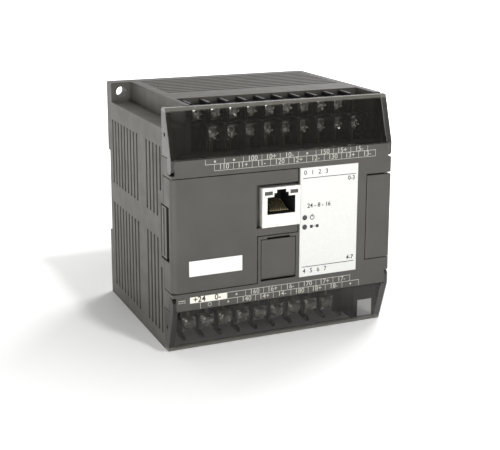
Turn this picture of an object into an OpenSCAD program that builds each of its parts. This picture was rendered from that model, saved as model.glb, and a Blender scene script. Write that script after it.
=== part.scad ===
// Compact input and output module of a programmable controller, for a 35 mm rail.
// Origin: centre of the rail seat. +X right, +Y back towards the rail, +Z up.
// "Depth" in the names below is the distance forward from the rear face of the housing.
// The housing looks the same when it is turned half round about Y, so most of what serves
// the top terminals serves the bottom ones too, turned.

/* [Housing] */
// Overall width
body_w = 93; // [91:1:140]
// Overall height
body_h = 95; // [93:1:130]
// Overall depth
body_d = 82; // [78:1:120]
// Depth of the front frame
frame_d = 10; // [9:0.5:14]
// Depth of the middle shell
mid_d = 26; // [25:0.5:32]
// Wall of the shells
wall = 1.8; // [1.4:0.1:2.2]
// Thickness of the rear wall
back_wall = 5.5; // [5:0.1:7]
// Clear gap between pieces that do not touch
gap = 0.3; // [0.15:0.05:0.35]
// Clear gap between shells that fit into each other
fit_gap = 0.1; // [0.05:0.01:0.15]
// Visible seam round the covers of the front face
seam = 0.35; // [0.1:0.05:0.4]

/* [Panel holes] */
// Width of the screwdriver channel in two corners
channel_w = 9; // [8:0.1:11]
// Height of the screwdriver channel
channel_h = 8.2; // [7.5:0.1:10]
// Thickness of the fixing ear at the back of the channel
ear_t = 6.5; // [5.6:0.1:10]
// Radius of the fixing hole in the ear
ear_hole_r = 2.2; // [1.6:0.1:2.8]

/* [Rail clip] */
// Height of the rail
rail_h = 35; // [35:0.1:35]
// Thickness of the rail's lips
rail_t = 1; // [0.9:0.1:1.1]
// Depth of the recess that takes the rail
rail_recess = 2.5; // [2.4:0.1:3]
// How far each hook reaches behind a lip
hook_reach = 1.3; // [1:0.1:1.6]
// Width of the clip
clip_w = 18; // [14:1:24]
// How far the clip is pulled down to free the rail
clip_travel = 5; // [3:0.5:5]
// Radius of the clip spring's coil
spring_r = 1.05; // [0.9:0.05:1.1]
// Diameter of the spring wire
spring_wire = 0.4; // [0.3:0.05:0.5]

/* [Vents] */
// Distance from slot to slot
vent_pitch = 4.2; // [3.8:0.1:5]
// Width of a slot
vent_w = 1.7; // [1:0.1:2]
// Depth of the first slot
vent_first = 7.6; // [7.5:0.1:10]
// Height of the solid band between the upper and the lower slots
vent_band = 8.6; // [4:0.2:12]
// Solid border above, below and beside the slots
vent_border = 5.6; // [4:0.1:7]

/* [Terminals] */
// Terminals in each row
term_count = 9; // [4:1:9]
// Distance from terminal to terminal
term_pitch = 7.62; // [7:0.01:7.7]
// Thickness of the barriers between terminals
barrier_t = 1.1; // [0.8:0.1:1.4]
// Radius of a terminal screw's head
head_r = 2.7; // [2:0.1:2.75]
// Height of a terminal screw's head
head_h = 2; // [1.4:0.1:2]
// Radius of a terminal screw's shank
shank_r = 1.5; // [1:0.1:1.5]
// Length of a terminal screw's shank
shank_l = 5; // [4:0.1:5]
// Thickness of clamp plates and contacts
strip_t = 0.8; // [0.5:0.1:0.9]
// Depth of the open wire bay, from the front of the housing
bay_d = 24.5; // [24:0.1:26]

/* [Terminal covers] */
// Thickness of the clear covers
cover_t = 1.4; // [1:0.1:1.6]
// How far the outer edge of a cover leans back
cover_lean = 5.8; // [4:0.1:7]
// Radius of the hinge stubs
stub_r = 1; // [0.8:0.05:1.1]
// Clearance round every hinge stub and pin
run_gap = 0.05; // [0.02:0.01:0.08]
// Distance of the hinge axis behind the front face
hinge_in = 2; // [1.8:0.1:2.2]
// Distance of the top cover's hinge axis from the top of the housing
hinge_drop = 22.3; // [22:0.1:24]
// Distance of the bottom cover's hinge axis from the bottom of the housing
low_hinge_drop = 21; // [20.5:0.1:24]

/* [Front face] */
// Width of the large face cover
face_w = 51.7; // [50:0.1:54]
// Depth of the face cover's side skirt
skirt_d = 8.5; // [7:0.1:9]
// Rounding of the face cover's corner between its front and its skirt
face_edge_r = 2.4; // [0.5:0.1:2.6]
// Thickness of the face cover and the small covers
plate_t = 1.8; // [1.4:0.1:2]
// How far the face features sit below the middle
face_drop = 0.5; // [0:0.1:1]
// Width of the white label plate
label_w = 25.3; // [20:0.1:26]
// Thickness of the white label plate
label_t = 0.6; // [0.4:0.1:0.8]
// Radius of the two status lamps
lamp_r = 0.95; // [0.7:0.05:1.2]
// Width of the blank sticker
sticker_w = 21.6; // [12:0.1:26]
// Height of the blank sticker
sticker_h = 6; // [4:0.1:9]

/* [Network socket] */
// Width of the socket's metal case
jack_w = 16; // [15.5:0.1:16.5]
// Height of the socket's metal case
jack_h = 15.6; // [13.4:0.1:16]
// Width of the plug opening
plug_w = 11.9; // [11.7:0.1:12.2]
// Height of the plug opening without its latch steps
plug_h = 6.9; // [6.6:0.1:7.2]

/* [Service door] */
// Width of the door
door_w = 14.4; // [13:0.1:14.6]
// Height of the door
door_h = 16.3; // [14:0.1:17]
// Thickness of the door
door_t = 1.4; // [1.2:0.1:1.6]
// Radius of the door's hinge pin
door_pin_r = 0.5; // [0.4:0.05:0.6]

/* [Side ports] */
// Width of the right port cover on the front face
port_w = 10.7; // [10:0.1:12]
// Height of the right port cover
port_h = 34.5; // [28:0.1:36]
// Height of the pocket in the left side
pocket_h = 21.5; // [18:0.1:24]
// Width of the pocket in the left side
pocket_w = 9.2; // [8.5:0.1:9.4]
// Width of the plate that closes the left pocket
pocket_plate_w = 6; // [5:0.1:6.4]
// Open gap round that plate
pocket_gap = 0.7; // [0.3:0.1:0.9]

/* [Boards] */
// Thickness of the circuit boards
board_t = 1.6; // [1:0.1:1.6]
// Distance of the front board behind the front face
front_board_in = 20; // [19.5:0.1:21]
// Distance across the flats of the board posts
post_flats = 5; // [4:0.1:5.5]

/* [Hidden] */
$fn = 40;
eps = 0.01;
w2 = body_w / 2;
h2 = body_h / 2;
rear_y = rail_recess;
frame_at = body_d - frame_d;
mid_at = frame_at - mid_d;
bay_at = body_d - bay_d;
ear_x = w2 - channel_w / 2;
ear_z = h2 - channel_h / 2 + 0.1;
fillet = 0.8;

// Rail recess and clip
hook_t = rail_recess - rail_t - 0.2;
seat_gap = 0.25;
recess_top = rail_h / 2 + seat_gap;
recess_bottom = -rail_h / 2 - 1;
hook_w = 14;
hook_x = body_w * 0.3;
clip_t = 3;
clip_in = rail_recess + 0.6;
flange_w = 2;
flange_t = 1.4;
clip_top = -rail_h / 2 + hook_reach - seat_gap;
clip_foot = -h2 + 0.2;
window_top = -rail_h / 2 - 6;
window_w = 5;
spring_free = 12;
spring_turns = 7;
ledge_h = 2;

// Vents
rear_slots = floor((mid_at - vent_first - 3) / vent_pitch) + 1;
mid_slots = 5;
mid_first = mid_at + 7.4;
vent_mid = 0;

// Terminals and their bays
bay_left = -w2 + channel_w + wall;
bay_right = w2 - 3;
floor_z = h2 - 19.5;
floor_t = 1.8;
rear_row_x = bay_left + 6.5;
front_row_x = rear_row_x + term_pitch / 2;
rear_row_z = h2 - 5.2;
front_row_z = h2 - 12.3;
rear_row_at = bay_at + 3.7;
front_row_at = rear_row_at + 6.8;
step_z = h2 - 8.8;
block_top = h2 - 2.3;
barrier_top = h2 - 0.6;
rear_barrier_at = rear_row_at + 5.6;
front_barrier_at = front_row_at + 6.5;
block_left = rear_row_x - term_pitch / 2 - barrier_t / 2;
block_right = front_row_x + (term_count - 0.5) * term_pitch + barrier_t / 2;
plate_w = min(5.6, term_pitch - barrier_t - 0.6);
pan_r = min(head_r, (term_pitch - barrier_t) / 2 - 0.2);
tail_w = 1.2;
hole_gap = 0.1;
rows = [[rear_row_x, rear_row_z, rear_row_at], [front_row_x, front_row_z, front_row_at]];
// the bottom block steps the other way: its outer row is its front row
low_rows = [[rear_row_x, h2 - 14.1, rear_row_at], [front_row_x, h2 - 7.5, front_row_at]];
low_step_z = h2 - 10.6;
low_top = h2 - 4;

// Terminal covers
hinge_at = body_d - hinge_in;
hinge_z = h2 - hinge_drop;
low_hinge_z = h2 - low_hinge_drop;
cover_edge_r = 4;
frame_edge_r = cover_edge_r - gap;
foot_rise = sqrt(pow(cover_edge_r, 2) - pow(hinge_in, 2));
cover_top = h2 - 0.2;
lip_d = 2;
cheek_x = w2 - cover_t - fit_gap;
cover_open = 95;

// Front frame and face
frame_top = hinge_z + frame_edge_r;
frame_bottom = low_hinge_z + frame_edge_r;
face_top = hinge_z - 3.2 - face_drop;
face_bottom = -low_hinge_z + 4.5 - face_drop;
face_right = -w2 + face_w;
seat_at = body_d - plate_t - 0.4;
seat_t = 1.6;
boss_w = 3.4;
label_left = face_right + 1;
lamp_x = label_left + 2.1;
lamp_z = [1.6, -2.2];
label_hole_gap = 0.1;
frame_wall = 1.6;

// Boards, from the back to the front
power_at = back_wall + 6.5;
main_at = bay_at - 19.5;
front_at = body_d - front_board_in;
board_w2 = w2 - wall - 1.7;
board_h2 = h2 - channel_h - wall - 0.7;
front_h2 = hinge_z - 4.2;
front_w2 = w2 - wall - 3;
post_x = front_w2 - 4;
post_z = front_h2 - 3;
post_screw_r = 1.3;
term_board_z = floor_z - floor_t - 1.8;
term_board_at = mid_at + 1.5;
tail_end = term_board_z - board_t - 0.8;

// Network socket, with its window in the face cover
jack_right = label_left - 0.2;
jack_left = jack_right - jack_w;
jack_x = jack_right - jack_w / 2;
jack_top = face_top - 6.4;
jack_bottom = jack_top - jack_h;
jack_face = body_d + 0.5;
jack_at = front_at + board_t;
jack_wall = 0.35;
plug_bottom = jack_bottom + 5;
plug_depth = 13.5;
window_left = jack_left - 2.2;
window_bottom = jack_bottom - 0.2;
window_roof = jack_top + 1.4;
notch_left = jack_left - 1.9;
notch_top = jack_bottom - 3.1;

// Service door and the socket behind it
door_left = notch_left + 1.8;
door_x = door_left + door_w / 2;
door_bottom = face_bottom + 0.7;
door_top = door_bottom + door_h;
door_bead_r = 1.3;
door_axis_z = door_bottom + door_bead_r;
door_axis_at = body_d - door_bead_r - 0.1;
pocket_floor_at = frame_at + 0.2;
service_r = 4.6;
service_z = (door_axis_z + door_bead_r + door_top) / 2;

// Side ports
port_left = w2 - port_w;
port_top = face_top - 5.6;
port_bottom = port_top - port_h;
port_skirt = frame_d - 2;
header_w = 7;
header_h = port_h - 9;
header_z = (port_top + port_bottom) / 2;
header_x = w2 - port_w / 2 - 0.6;
pocket_at = body_d - 3 - pocket_w;
pocket_z = -0.3;
plug_leg = 1;
bus_h = pocket_h - 2 * plug_leg - 2 * pocket_gap - 4 * gap;
bus_w = 5.6;
pull_off = 8;

// Long screws from the back into the middle shell
pillar_r = 3.2;
pillar_z = h2 - wall - pillar_r - gap;
pillar_xs = [w2 - wall - pillar_r - gap, bay_left + pillar_r + 0.5];
long_screw_r = 1.45;
long_head_r = 2.8;
long_head_h = 2.2;
long_screw_l = 16;

// ---------- helpers ----------

// Y of a point at this depth
function y_at(depth) = rear_y - depth;

// Box between two values on each axis, with its middle pair as depths
module slab(x0, x1, d0, d1, z0, z1)
    translate([x0, y_at(d1), z0]) cube([x1 - x0, d1 - d0, z1 - z0]);

// Rod along the depth
module rod(x, z, d0, d1, r, sides = 40)
    translate([x, y_at(d1), z]) rotate([-90, 0, 0]) cylinder(h = d1 - d0, r = r, $fn = sides);

// Rod along X
module cross_rod(x0, x1, depth, z, r)
    translate([x0, y_at(depth), z]) rotate([0, 90, 0]) cylinder(h = x1 - x0, r = r);

// Outline drawn in X and Z, carried from one depth to another
module along_depth(d0, d1)
    translate([0, y_at(d0), 0]) rotate([90, 0, 0]) linear_extrude(d1 - d0) children();

// Outline drawn in Y and Z, carried from one X to another
module along_width(x0, x1)
    translate([x0, 0, 0]) rotate([90, 0, 90]) linear_extrude(x1 - x0) children();

// The same shape for the other half of the housing
module turned() rotate([0, 180, 0]) children();

module both_halves() {
    children();
    turned() children();
}

// Housing outline with its two corner channels, taken in by a wall
module housing_outline(in)
    polygon([[-w2 + in, -h2 + in], [w2 - channel_w - in, -h2 + in],
        [w2 - channel_w - in, -h2 + channel_h + in], [w2 - in, -h2 + channel_h + in],
        [w2 - in, h2 - in], [-w2 + channel_w + in, h2 - in],
        [-w2 + channel_w + in, h2 - channel_h - in], [-w2 + in, h2 - channel_h - in]]);

// Places something at every terminal of one row
module each_terminal(row)
    for (i = [0 : term_count - 1])
        translate([row[0] + i * term_pitch, 0, 0]) children();

// ---------- shells ----------

// Slots of the rear base's left side and top
module rear_vents()
    for (i = [0 : rear_slots - 1]) {
        at = vent_first + i * vent_pitch;
        slab(-w2 - 1, -w2 + wall + 1, at - vent_w / 2, at + vent_w / 2,
            vent_mid + vent_band / 2, h2 - channel_h - wall - vent_border);
        slab(-w2 - 1, -w2 + wall + 1, at - vent_w / 2, at + vent_w / 2,
            -h2 + vent_border, vent_mid - vent_band / 2);
        slab(-w2 + channel_w + 4, w2 - 3.5, at - vent_w / 2, at + vent_w / 2,
            h2 - wall - 1, h2 + 1);
    }

// Slots of the middle shell's left side; the last pair stops short of the pocket
module mid_vents()
    for (i = [0 : mid_slots - 1]) {
        at = mid_first + i * (vent_pitch - 0.1);
        short = i == mid_slots - 1 ? pocket_h / 2 - vent_band / 2 + 4.4 : 0;
        slab(-w2 - 1, -w2 + wall + 1, at - vent_w / 2, at + vent_w / 2,
            vent_mid + vent_band / 2 + short, h2 - channel_h - wall - vent_border);
        slab(-w2 - 1, -w2 + wall + 1, at - vent_w / 2, at + vent_w / 2,
            -h2 + vent_border, vent_mid - vent_band / 2 - short);
    }

// Space for the clip: a narrow mouth with a wider groove behind it
module clip_space() {
    slab(-clip_w / 2 - gap, clip_w / 2 + gap, -1, clip_in + gap, -h2 - 1, recess_bottom + eps);
    slab(-clip_w / 2 - flange_w - gap, clip_w / 2 + flange_w + gap,
        clip_in - flange_t - gap, clip_in + gap, -h2 - 1, recess_bottom + eps);
}

module rear_base() color("dimgray") {
    difference() {
        union() {
            difference() {
                along_depth(0, mid_at) housing_outline(0);
                along_depth(back_wall, mid_at + 1) housing_outline(wall);
            }
            both_halves() slab(-w2, -w2 + channel_w + eps, 0, ear_t, h2 - channel_h - eps, h2);
            for (sx = [-1, 1], sz = [-1, 1])
                rod(sx * post_x, sz * post_z, back_wall - eps, power_at, 3.5);
        }
        slab(-w2 - 1, w2 + 1, -1, rail_recess, recess_bottom, recess_top);
        clip_space();
        both_halves() rod(-ear_x, ear_z, -1, ear_t + 1, ear_hole_r);
        both_halves() rear_vents();
        for (sx = [-1, 1], sz = [-1, 1])
            rod(sx * post_x, sz * post_z, back_wall, power_at + 1, post_screw_r + 0.1);
        both_halves() for (x = pillar_xs) {
            rod(x, pillar_z, -1, back_wall + 1, long_screw_r + 0.15);
            rod(x, pillar_z, -1, long_head_h + 0.4, long_head_r + gap);
        }
    }
    for (sx = [-1, 1])
        slab(sx * hook_x - hook_w / 2, sx * hook_x + hook_w / 2, 0, hook_t,
            recess_top - hook_reach - seat_gap, recess_top + eps);
    slab(-window_w / 2 + gap, window_w / 2 - gap, 0.2, clip_in + gap + eps,
        window_top - spring_free - ledge_h, window_top - spring_free);
}

module middle_shell() color("dimgray") {
    difference() {
        union() {
            along_depth(mid_at, frame_at) housing_outline(0);
            along_depth(mid_at - 2, mid_at + eps) housing_outline(wall + fit_gap);
        }
        along_depth(mid_at - 3, frame_at + 1) housing_outline(wall + fit_gap + 1.1);
        along_depth(mid_at, frame_at + 1) housing_outline(wall);
        both_halves() slab(bay_left, bay_right, bay_at, frame_at + 1, floor_z, h2 + 1);
        both_halves() mid_vents();
        slab(-w2 - 1, -w2 + wall + 1, pocket_at, frame_at + 1,
            pocket_z - pocket_h / 2, pocket_z + pocket_h / 2);
    }
    both_halves() difference() {
        union() {
            slab(-w2 + wall - eps, w2 - wall + eps, bay_at - wall, frame_at,
                floor_z - floor_t, floor_z);
            slab(bay_left - eps, w2 - wall + eps, bay_at - wall, bay_at,
                floor_z - eps, h2 - wall + eps);
            slab(bay_right, w2 - wall + eps, bay_at - eps, frame_at, floor_z - eps, h2 - eps);
            slab(-w2 + wall - eps, bay_left, bay_at - wall, bay_at,
                floor_z - eps, h2 - channel_h - wall + eps);
            slab(bay_left - wall, bay_left, bay_at - eps, frame_at,
                floor_z - eps, h2 - channel_h - wall + eps);
            for (x = pillar_xs) rod(x, pillar_z, back_wall, bay_at, pillar_r);
        }
        for (x = pillar_xs)
            rod(x, pillar_z, back_wall - 1, back_wall + long_screw_l, long_screw_r);
        for (row = rows) each_terminal(row)
            slab(-tail_w / 2 - hole_gap, tail_w / 2 + hole_gap, row[2] - hole_gap,
                row[2] + strip_t + hole_gap, floor_z - floor_t - 1, floor_z + 1);
    }
}

// Outline of the area under the face cover, in X and Z, grown by a margin
module face_outline(grow, left = -w2)
    polygon([[left - grow, face_bottom - grow], [notch_left + grow, face_bottom - grow],
        [notch_left + grow, notch_top - grow], [face_right + grow, notch_top - grow],
        [face_right + grow, face_top + grow], [left - grow, face_top + grow]]);

// Hinge recesses in both ends of the frame, for a hinge at this height
module hinge_recesses(z) for (side = [0, 1]) mirror([side, 0, 0]) {
    x = cheek_x;
    cross_rod(x, w2 + 1, hinge_at, z, hinge_in + gap);
    slab(x, w2 + 1, hinge_at - hinge_in - gap, body_d + 1, z, h2);
    slab(x, w2 + 1, hinge_at, body_d + 1, z - hinge_in - gap, z + eps);
    cross_rod(x - 2.4, x + 1, hinge_at, z, stub_r + run_gap);
}

// Walls that close the ends of the wire bay under the cover
module bay_cheeks(edge) {
    slab(-cheek_x, bay_left, frame_at, frame_at + wall, edge - eps, h2 - channel_h);
    slab(bay_left - wall, bay_left, frame_at, cover_back_at() - gap, edge - eps, h2);
    along_width(bay_right, cheek_x) cheek_outline(edge);
}

// Outline of the right-hand cheek in Y and Z; its front follows the cover
module cheek_outline(edge) {
    top = h2 - 2.5;
    rise = cover_top - edge;
    inside = body_d - 1.6 * cover_t - 2 * gap;
    polygon([[y_at(frame_at), edge - eps], [y_at(frame_at), top],
        [y_at(inside - cover_lean * (top - edge) / rise), top], [y_at(inside), edge - eps]]);
}

// Rounds the edge that a cover swings past
module frame_edge(z) difference() {
    slab(-w2 - 1, w2 + 1, hinge_at, body_d + 1, z + hinge_in, z + frame_edge_r + 1);
    cross_rod(-w2 - 2, w2 + 2, hinge_at, z, frame_edge_r);
}

// Depth of the rear edge of a cover's lip
function cover_back_at() = body_d - cover_lean - lip_d;

module front_frame() color("dimgray") difference() {
    union() {
        difference() {
            slab(-w2, w2, frame_at, body_d, -frame_bottom, frame_top);
            slab(-w2 + wall, w2 - wall, frame_at - 1, seat_at - seat_t,
                -frame_bottom + frame_wall, frame_top - frame_wall);
            along_depth(seat_at, body_d + 1) face_outline(seam, -w2 - 1);
            slab(-w2 - 2, -w2 + plate_t + fit_gap, body_d - skirt_d - seam, body_d + 1,
                face_bottom - seam, face_top + seam);
            slab(label_left + wall, label_left + label_w - wall, seat_at - seat_t - 1,
                body_d - plate_t, face_bottom + wall, face_top - wall);
        }
        for (sx = [-1, 1], sz = [-1, 1])
            slab(sx > 0 ? w2 - wall - boss_w : -w2 + 0.1, sx > 0 ? w2 - 0.1 : -w2 + wall + boss_w,
                hinge_at - 4, body_d - 1,
                sz > 0 ? face_top + seam : -frame_bottom + 0.1,
                sz > 0 ? frame_top - 0.1 : face_bottom - seam);
        slab(-w2 + plate_t + fit_gap, -w2 + plate_t + fit_gap + wall, frame_at, seat_at,
            face_bottom - 2, face_top + 2);
        slab(door_left - gap - wall, door_left + door_w + gap + wall, pocket_floor_at, seat_at,
            face_bottom - 1, door_top + 1 + wall);
        slab(port_left - wall, w2 - plate_t - fit_gap, frame_at, seat_at,
            port_bottom - wall, port_top + wall);
        bay_cheeks(frame_top);
        turned() bay_cheeks(frame_bottom);
        for (sx = [-1, 1], sz = [-1, 1])
            slab(sx > 0 ? w2 - wall - 1.5 : -w2 + wall + fit_gap,
                sx > 0 ? w2 - wall - fit_gap : -w2 + wall + 1.5, frame_at - 5, frame_at + 2.5,
                sz * (hinge_z - 8) - 3, sz * (hinge_z - 8) + 3);
        for (sx = [-1, 1], sz = [-1, 1])
            slab(sx > 0 ? w2 - wall - 1.5 : -w2 + plate_t + fit_gap,
                sx > 0 ? w2 - wall + eps : -w2 + wall + 1.5, frame_at, frame_at + 2.5,
                sz * (hinge_z - 8) - 3, sz * (hinge_z - 8) + 3);
    }
    // covers
    frame_edge(hinge_z);
    turned() frame_edge(low_hinge_z);
    hinge_recesses(hinge_z);
    turned() hinge_recesses(low_hinge_z);
    // network socket
    slab(jack_left - gap, jack_right + gap, frame_at - 1, body_d + 1,
        jack_bottom - gap, jack_top + gap);
    // service door: its recess, its finger notch, its shaft and its pin
    slab(door_left - gap, door_left + door_w + gap, body_d - 2 * door_bead_r - 2 * gap,
        body_d + 1, door_bottom - gap, door_top + gap);
    slab(door_left + gap, door_left + door_w - gap, pocket_floor_at - 1,
        body_d - door_bead_r, door_axis_z + door_bead_r + gap, door_top);
    slab(door_x - door_w / 3, door_x + door_w / 3, body_d - 1.2, body_d + 1,
        door_top - 1, door_top + 1);
    cross_rod(door_left - gap - 1, door_left + door_w + gap + 1, door_axis_at, door_axis_z,
        door_pin_r);
    // label plate and lamps
    slab(label_left - fit_gap, label_left + label_w + fit_gap, body_d - label_t, body_d + 1,
        face_bottom - fit_gap, face_top + fit_gap);
    for (z = lamp_z) rod(lamp_x, z, frame_at, body_d + 1, lamp_r + label_hole_gap);
    // right port
    slab(port_left - seam, w2 + 1, body_d - plate_t - fit_gap, body_d + 1,
        port_bottom - seam, port_top + 2 * seam);
    slab(w2 - plate_t - fit_gap, w2 + 1, body_d - port_skirt - seam, body_d + 1,
        port_bottom - seam, port_top + 2 * seam);
    slab(header_x - header_w / 2 - gap, header_x + header_w / 2 + gap, frame_at - 1, body_d + 1,
        header_z - header_h / 2 - gap, header_z + header_h / 2 + gap);
    // left pocket
    slab(-w2 - 1, -w2 + plate_t + wall + 1, frame_at - 1, pocket_at + pocket_w,
        pocket_z - pocket_h / 2, pocket_z + pocket_h / 2);
}

// ---------- face ----------

module face_cover() color("dimgray") difference() {
    union() {
        along_depth(seat_at + 0.4, body_d) face_outline(0);
        slab(-w2, -w2 + plate_t, body_d - skirt_d, body_d, face_bottom, face_top);
        for (z = [face_bottom + 6, face_top - 8])
            slab(-w2 + plate_t + 14, -w2 + plate_t + 20, seat_at + eps, seat_at + 0.4 + eps,
                z, z + 2);
    }
    slab(-w2 - 1, -w2 + plate_t + 0.5, frame_at - 1, pocket_at + pocket_w,
        pocket_z - pocket_h / 2, pocket_z + pocket_h / 2);
    slab(window_left, face_right + 1, seat_at - 1, body_d + 1, window_bottom, window_roof);
    difference() {
        slab(-w2 - 1, -w2 + face_edge_r, body_d - face_edge_r, body_d + 1, face_bottom - 1, face_top + 1);
        translate([-w2 + face_edge_r, y_at(body_d - face_edge_r), face_bottom - 2])
            cylinder(h = face_top - face_bottom + 4, r = face_edge_r);
    }
}

module blank_sticker() color("whitesmoke")
    slab(-w2 + 6.7, -w2 + 6.7 + sticker_w, body_d, body_d + 0.15,
        face_bottom + 6.2, face_bottom + 6.2 + sticker_h);

module label_plate() color("white") difference() {
    slab(label_left, label_left + label_w, body_d - label_t, body_d + 0.05,
        face_bottom, face_top);
    for (z = lamp_z) rod(lamp_x, z, body_d - 2, body_d + 1, lamp_r + label_hole_gap);
    slab(label_left - 1, jack_right + gap, body_d - 2, body_d + 1,
        jack_bottom - gap, jack_top + gap);
}

module status_lamps() color("darkslategray")
    for (z = lamp_z) {
        rod(lamp_x, z, front_at + board_t, body_d + 0.15, lamp_r);
        rod(lamp_x, z, front_at + board_t, front_at + board_t + 1.5, lamp_r + 0.5);
    }

// ---------- terminal covers ----------

// Slanting plate of a cover in Y and Z, from its foot to its top, for a hinge at this height
module cover_section(z) {
    foot = z + foot_rise;
    slope = [-cover_lean, cover_top - foot];
    in = cover_t * sqrt(slope[0] * slope[0] + slope[1] * slope[1]) / slope[1];
    difference() {
        polygon([[y_at(body_d), foot - 1], [y_at(body_d), foot],
            [y_at(body_d - cover_lean), cover_top],
            [y_at(body_d - cover_lean - lip_d), cover_top],
            [y_at(body_d - cover_lean - lip_d), cover_top - 1.2],
            [y_at(body_d - cover_lean - in) + 0.1, cover_top - 1.2],
            [y_at(body_d - in), foot - 1]]);
        translate([y_at(hinge_at), z]) circle(r = cover_edge_r);
        translate([y_at(body_d) - 2, z - 3]) square([3, 3]);
    }
}

// End plate of a cover in Y and Z, with its hinge ear
module cover_end_section(z) {
    back = frame_at + gap;
    edge = z + frame_edge_r + gap;
    polygon([[y_at(back), cover_top - 1], [y_at(back + 1), cover_top],
        [y_at(body_d - cover_lean), cover_top], [y_at(body_d), z + foot_rise],
        [y_at(body_d), z], [y_at(hinge_at - hinge_in), z],
        [y_at(hinge_at - hinge_in), edge], [y_at(back), edge]]);
    translate([y_at(hinge_at), z]) circle(r = hinge_in);
}

module terminal_cover(z) difference() {
    union() {
        along_width(-w2 + eps, w2 - eps) cover_section(z);
        for (sx = [-1, 1]) {
            along_width(sx > 0 ? w2 - cover_t : -w2, sx > 0 ? w2 : -w2 + cover_t)
                cover_end_section(z);
            cross_rod(sx > 0 ? cheek_x - 2 : -w2 + cover_t - eps,
                sx > 0 ? w2 - cover_t + eps : -cheek_x + 2, hinge_at, z, stub_r);
        }
    }
    // latch holes in the ends and the fingernail slot at one corner
    cross_rod(-w2 - 1, w2 + 1, frame_at + 3.5, h2 - 10, 0.8);
    slab(w2 - 3.2, w2 - 2, frame_at, body_d + 1, z + foot_rise + 0.4, z + foot_rise + 3);
}

module top_cover() color("black", 0.6) terminal_cover(hinge_z);
module bottom_cover() color("black", 0.6) turned() terminal_cover(low_hinge_z);

// ---------- terminals ----------

// Slots for the tails of the contacts and holes for the screws
module terminal_cuts(rows) for (row = rows) each_terminal(row) {
    rod(0, row[1], row[2] - shank_l, row[2] + 1, shank_r + hole_gap);
    slab(-tail_w / 2 - hole_gap, tail_w / 2 + hole_gap, row[2] - hole_gap,
        row[2] + strip_t + hole_gap, floor_z - 1, row[1] - plate_w / 2);
}

module terminal_block() difference() {
    union() {
        slab(block_left, block_right, bay_at + 0.2, front_row_at, floor_z, step_z);
        slab(block_left, block_right, bay_at + 0.2, rear_row_at, floor_z, block_top);
        for (i = [0 : term_count]) {
            translate([rear_row_x + (i - 0.5) * term_pitch, 0, 0])
                slab(-barrier_t / 2, barrier_t / 2, bay_at + 0.2, rear_barrier_at,
                    step_z - eps, barrier_top);
            translate([front_row_x + (i - 0.5) * term_pitch, 0, 0])
                slab(-barrier_t / 2, barrier_t / 2, front_row_at - eps, front_barrier_at,
                    frame_top + 0.4, step_z + 0.8);
        }
    }
    terminal_cuts(rows);
}

module low_terminal_block() difference() {
    union() {
        slab(block_left, block_right, bay_at + 0.2, rear_row_at, floor_z, low_top);
        slab(block_left, block_right, bay_at + 0.2, front_row_at, low_step_z, low_top);
        for (i = [0 : term_count]) {
            translate([rear_row_x + (i - 0.5) * term_pitch, 0, 0])
                slab(-barrier_t / 2, barrier_t / 2, bay_at + 0.2, front_row_at,
                    floor_z, low_step_z + eps);
            translate([front_row_x + (i - 0.5) * term_pitch, 0, 0])
                {
                    slab(-barrier_t / 2, barrier_t / 2, front_row_at - eps, front_row_at + 2.6,
                        low_step_z, low_top + 1);
                    slab(-barrier_t / 2, barrier_t / 2, front_row_at, front_barrier_at,
                        low_top - 0.6, low_top + 1);
                }
        }
    }
    terminal_cuts(low_rows);
}

// Pan-head screw at the origin's column, with a cross recess
module terminal_screw(z, seat) difference() {
    union() {
        rod(0, z, seat, seat + head_h, pan_r);
        rod(0, z, seat - shank_l, seat + eps, shank_r);
    }
    slab(-pan_r * 0.6, pan_r * 0.6, seat + head_h - 0.9, seat + head_h + 1, z - 0.4, z + 0.4);
    slab(-0.4, 0.4, seat + head_h - 0.9, seat + head_h + 1, z - pan_r * 0.6, z + pan_r * 0.6);
}

module screw_row(row) each_terminal(row) terminal_screw(row[1], row[2] + 2 * strip_t);

module clamp_plates(rows) for (row = rows) each_terminal(row) difference() {
    slab(-plate_w / 2, plate_w / 2, row[2] + strip_t, row[2] + 2 * strip_t,
        row[1] - plate_w / 2, row[1] + plate_w / 2);
    rod(0, row[1], row[2], row[2] + 3, shank_r + hole_gap);
}

module contacts(rows) for (row = rows) each_terminal(row) difference() {
    union() {
        slab(-plate_w / 2, plate_w / 2, row[2], row[2] + strip_t,
            row[1] - plate_w / 2 - 0.3, row[1] + plate_w / 2);
        slab(-tail_w / 2, tail_w / 2, row[2], row[2] + strip_t, tail_end, row[1] - plate_w / 2);
    }
    rod(0, row[1], row[2] - 1, row[2] + 3, shank_r + hole_gap);
}

module terminal_board() difference() {
    slab(block_left, block_right, term_board_at, frame_at - 0.5,
        term_board_z - board_t, term_board_z);
    for (row = rows) each_terminal(row)
        slab(-tail_w / 2 - hole_gap, tail_w / 2 + hole_gap, row[2] - hole_gap,
            row[2] + strip_t + hole_gap, term_board_z - 3, term_board_z + 1);
}

// Angled socket between a terminal board and the main board
module board_link()
    slab(-12, 12, main_at + board_t, term_board_at + 2.5, term_board_z, term_board_z + 5);

module top_terminal_block() color("black") terminal_block();
module bottom_terminal_block() color("black") turned() low_terminal_block();
module top_rear_screws() color("silver") screw_row(rows[0]);
module top_front_screws() color("silver") screw_row(rows[1]);
module bottom_rear_screws() color("silver") turned() screw_row(low_rows[0]);
module bottom_front_screws() color("silver") turned() screw_row(low_rows[1]);
module top_clamp_plates() color("lightgray") clamp_plates(rows);
module bottom_clamp_plates() color("lightgray") turned() clamp_plates(low_rows);
module top_contacts() color("goldenrod") contacts(rows);
module bottom_contacts() color("goldenrod") turned() contacts(low_rows);
module top_terminal_board() color("darkgreen") terminal_board();
module bottom_terminal_board() color("darkgreen") turned() terminal_board();
module top_board_link() color("black") board_link();
module bottom_board_link() color("black") turned() board_link();

// ---------- boards and what they carry ----------

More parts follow.
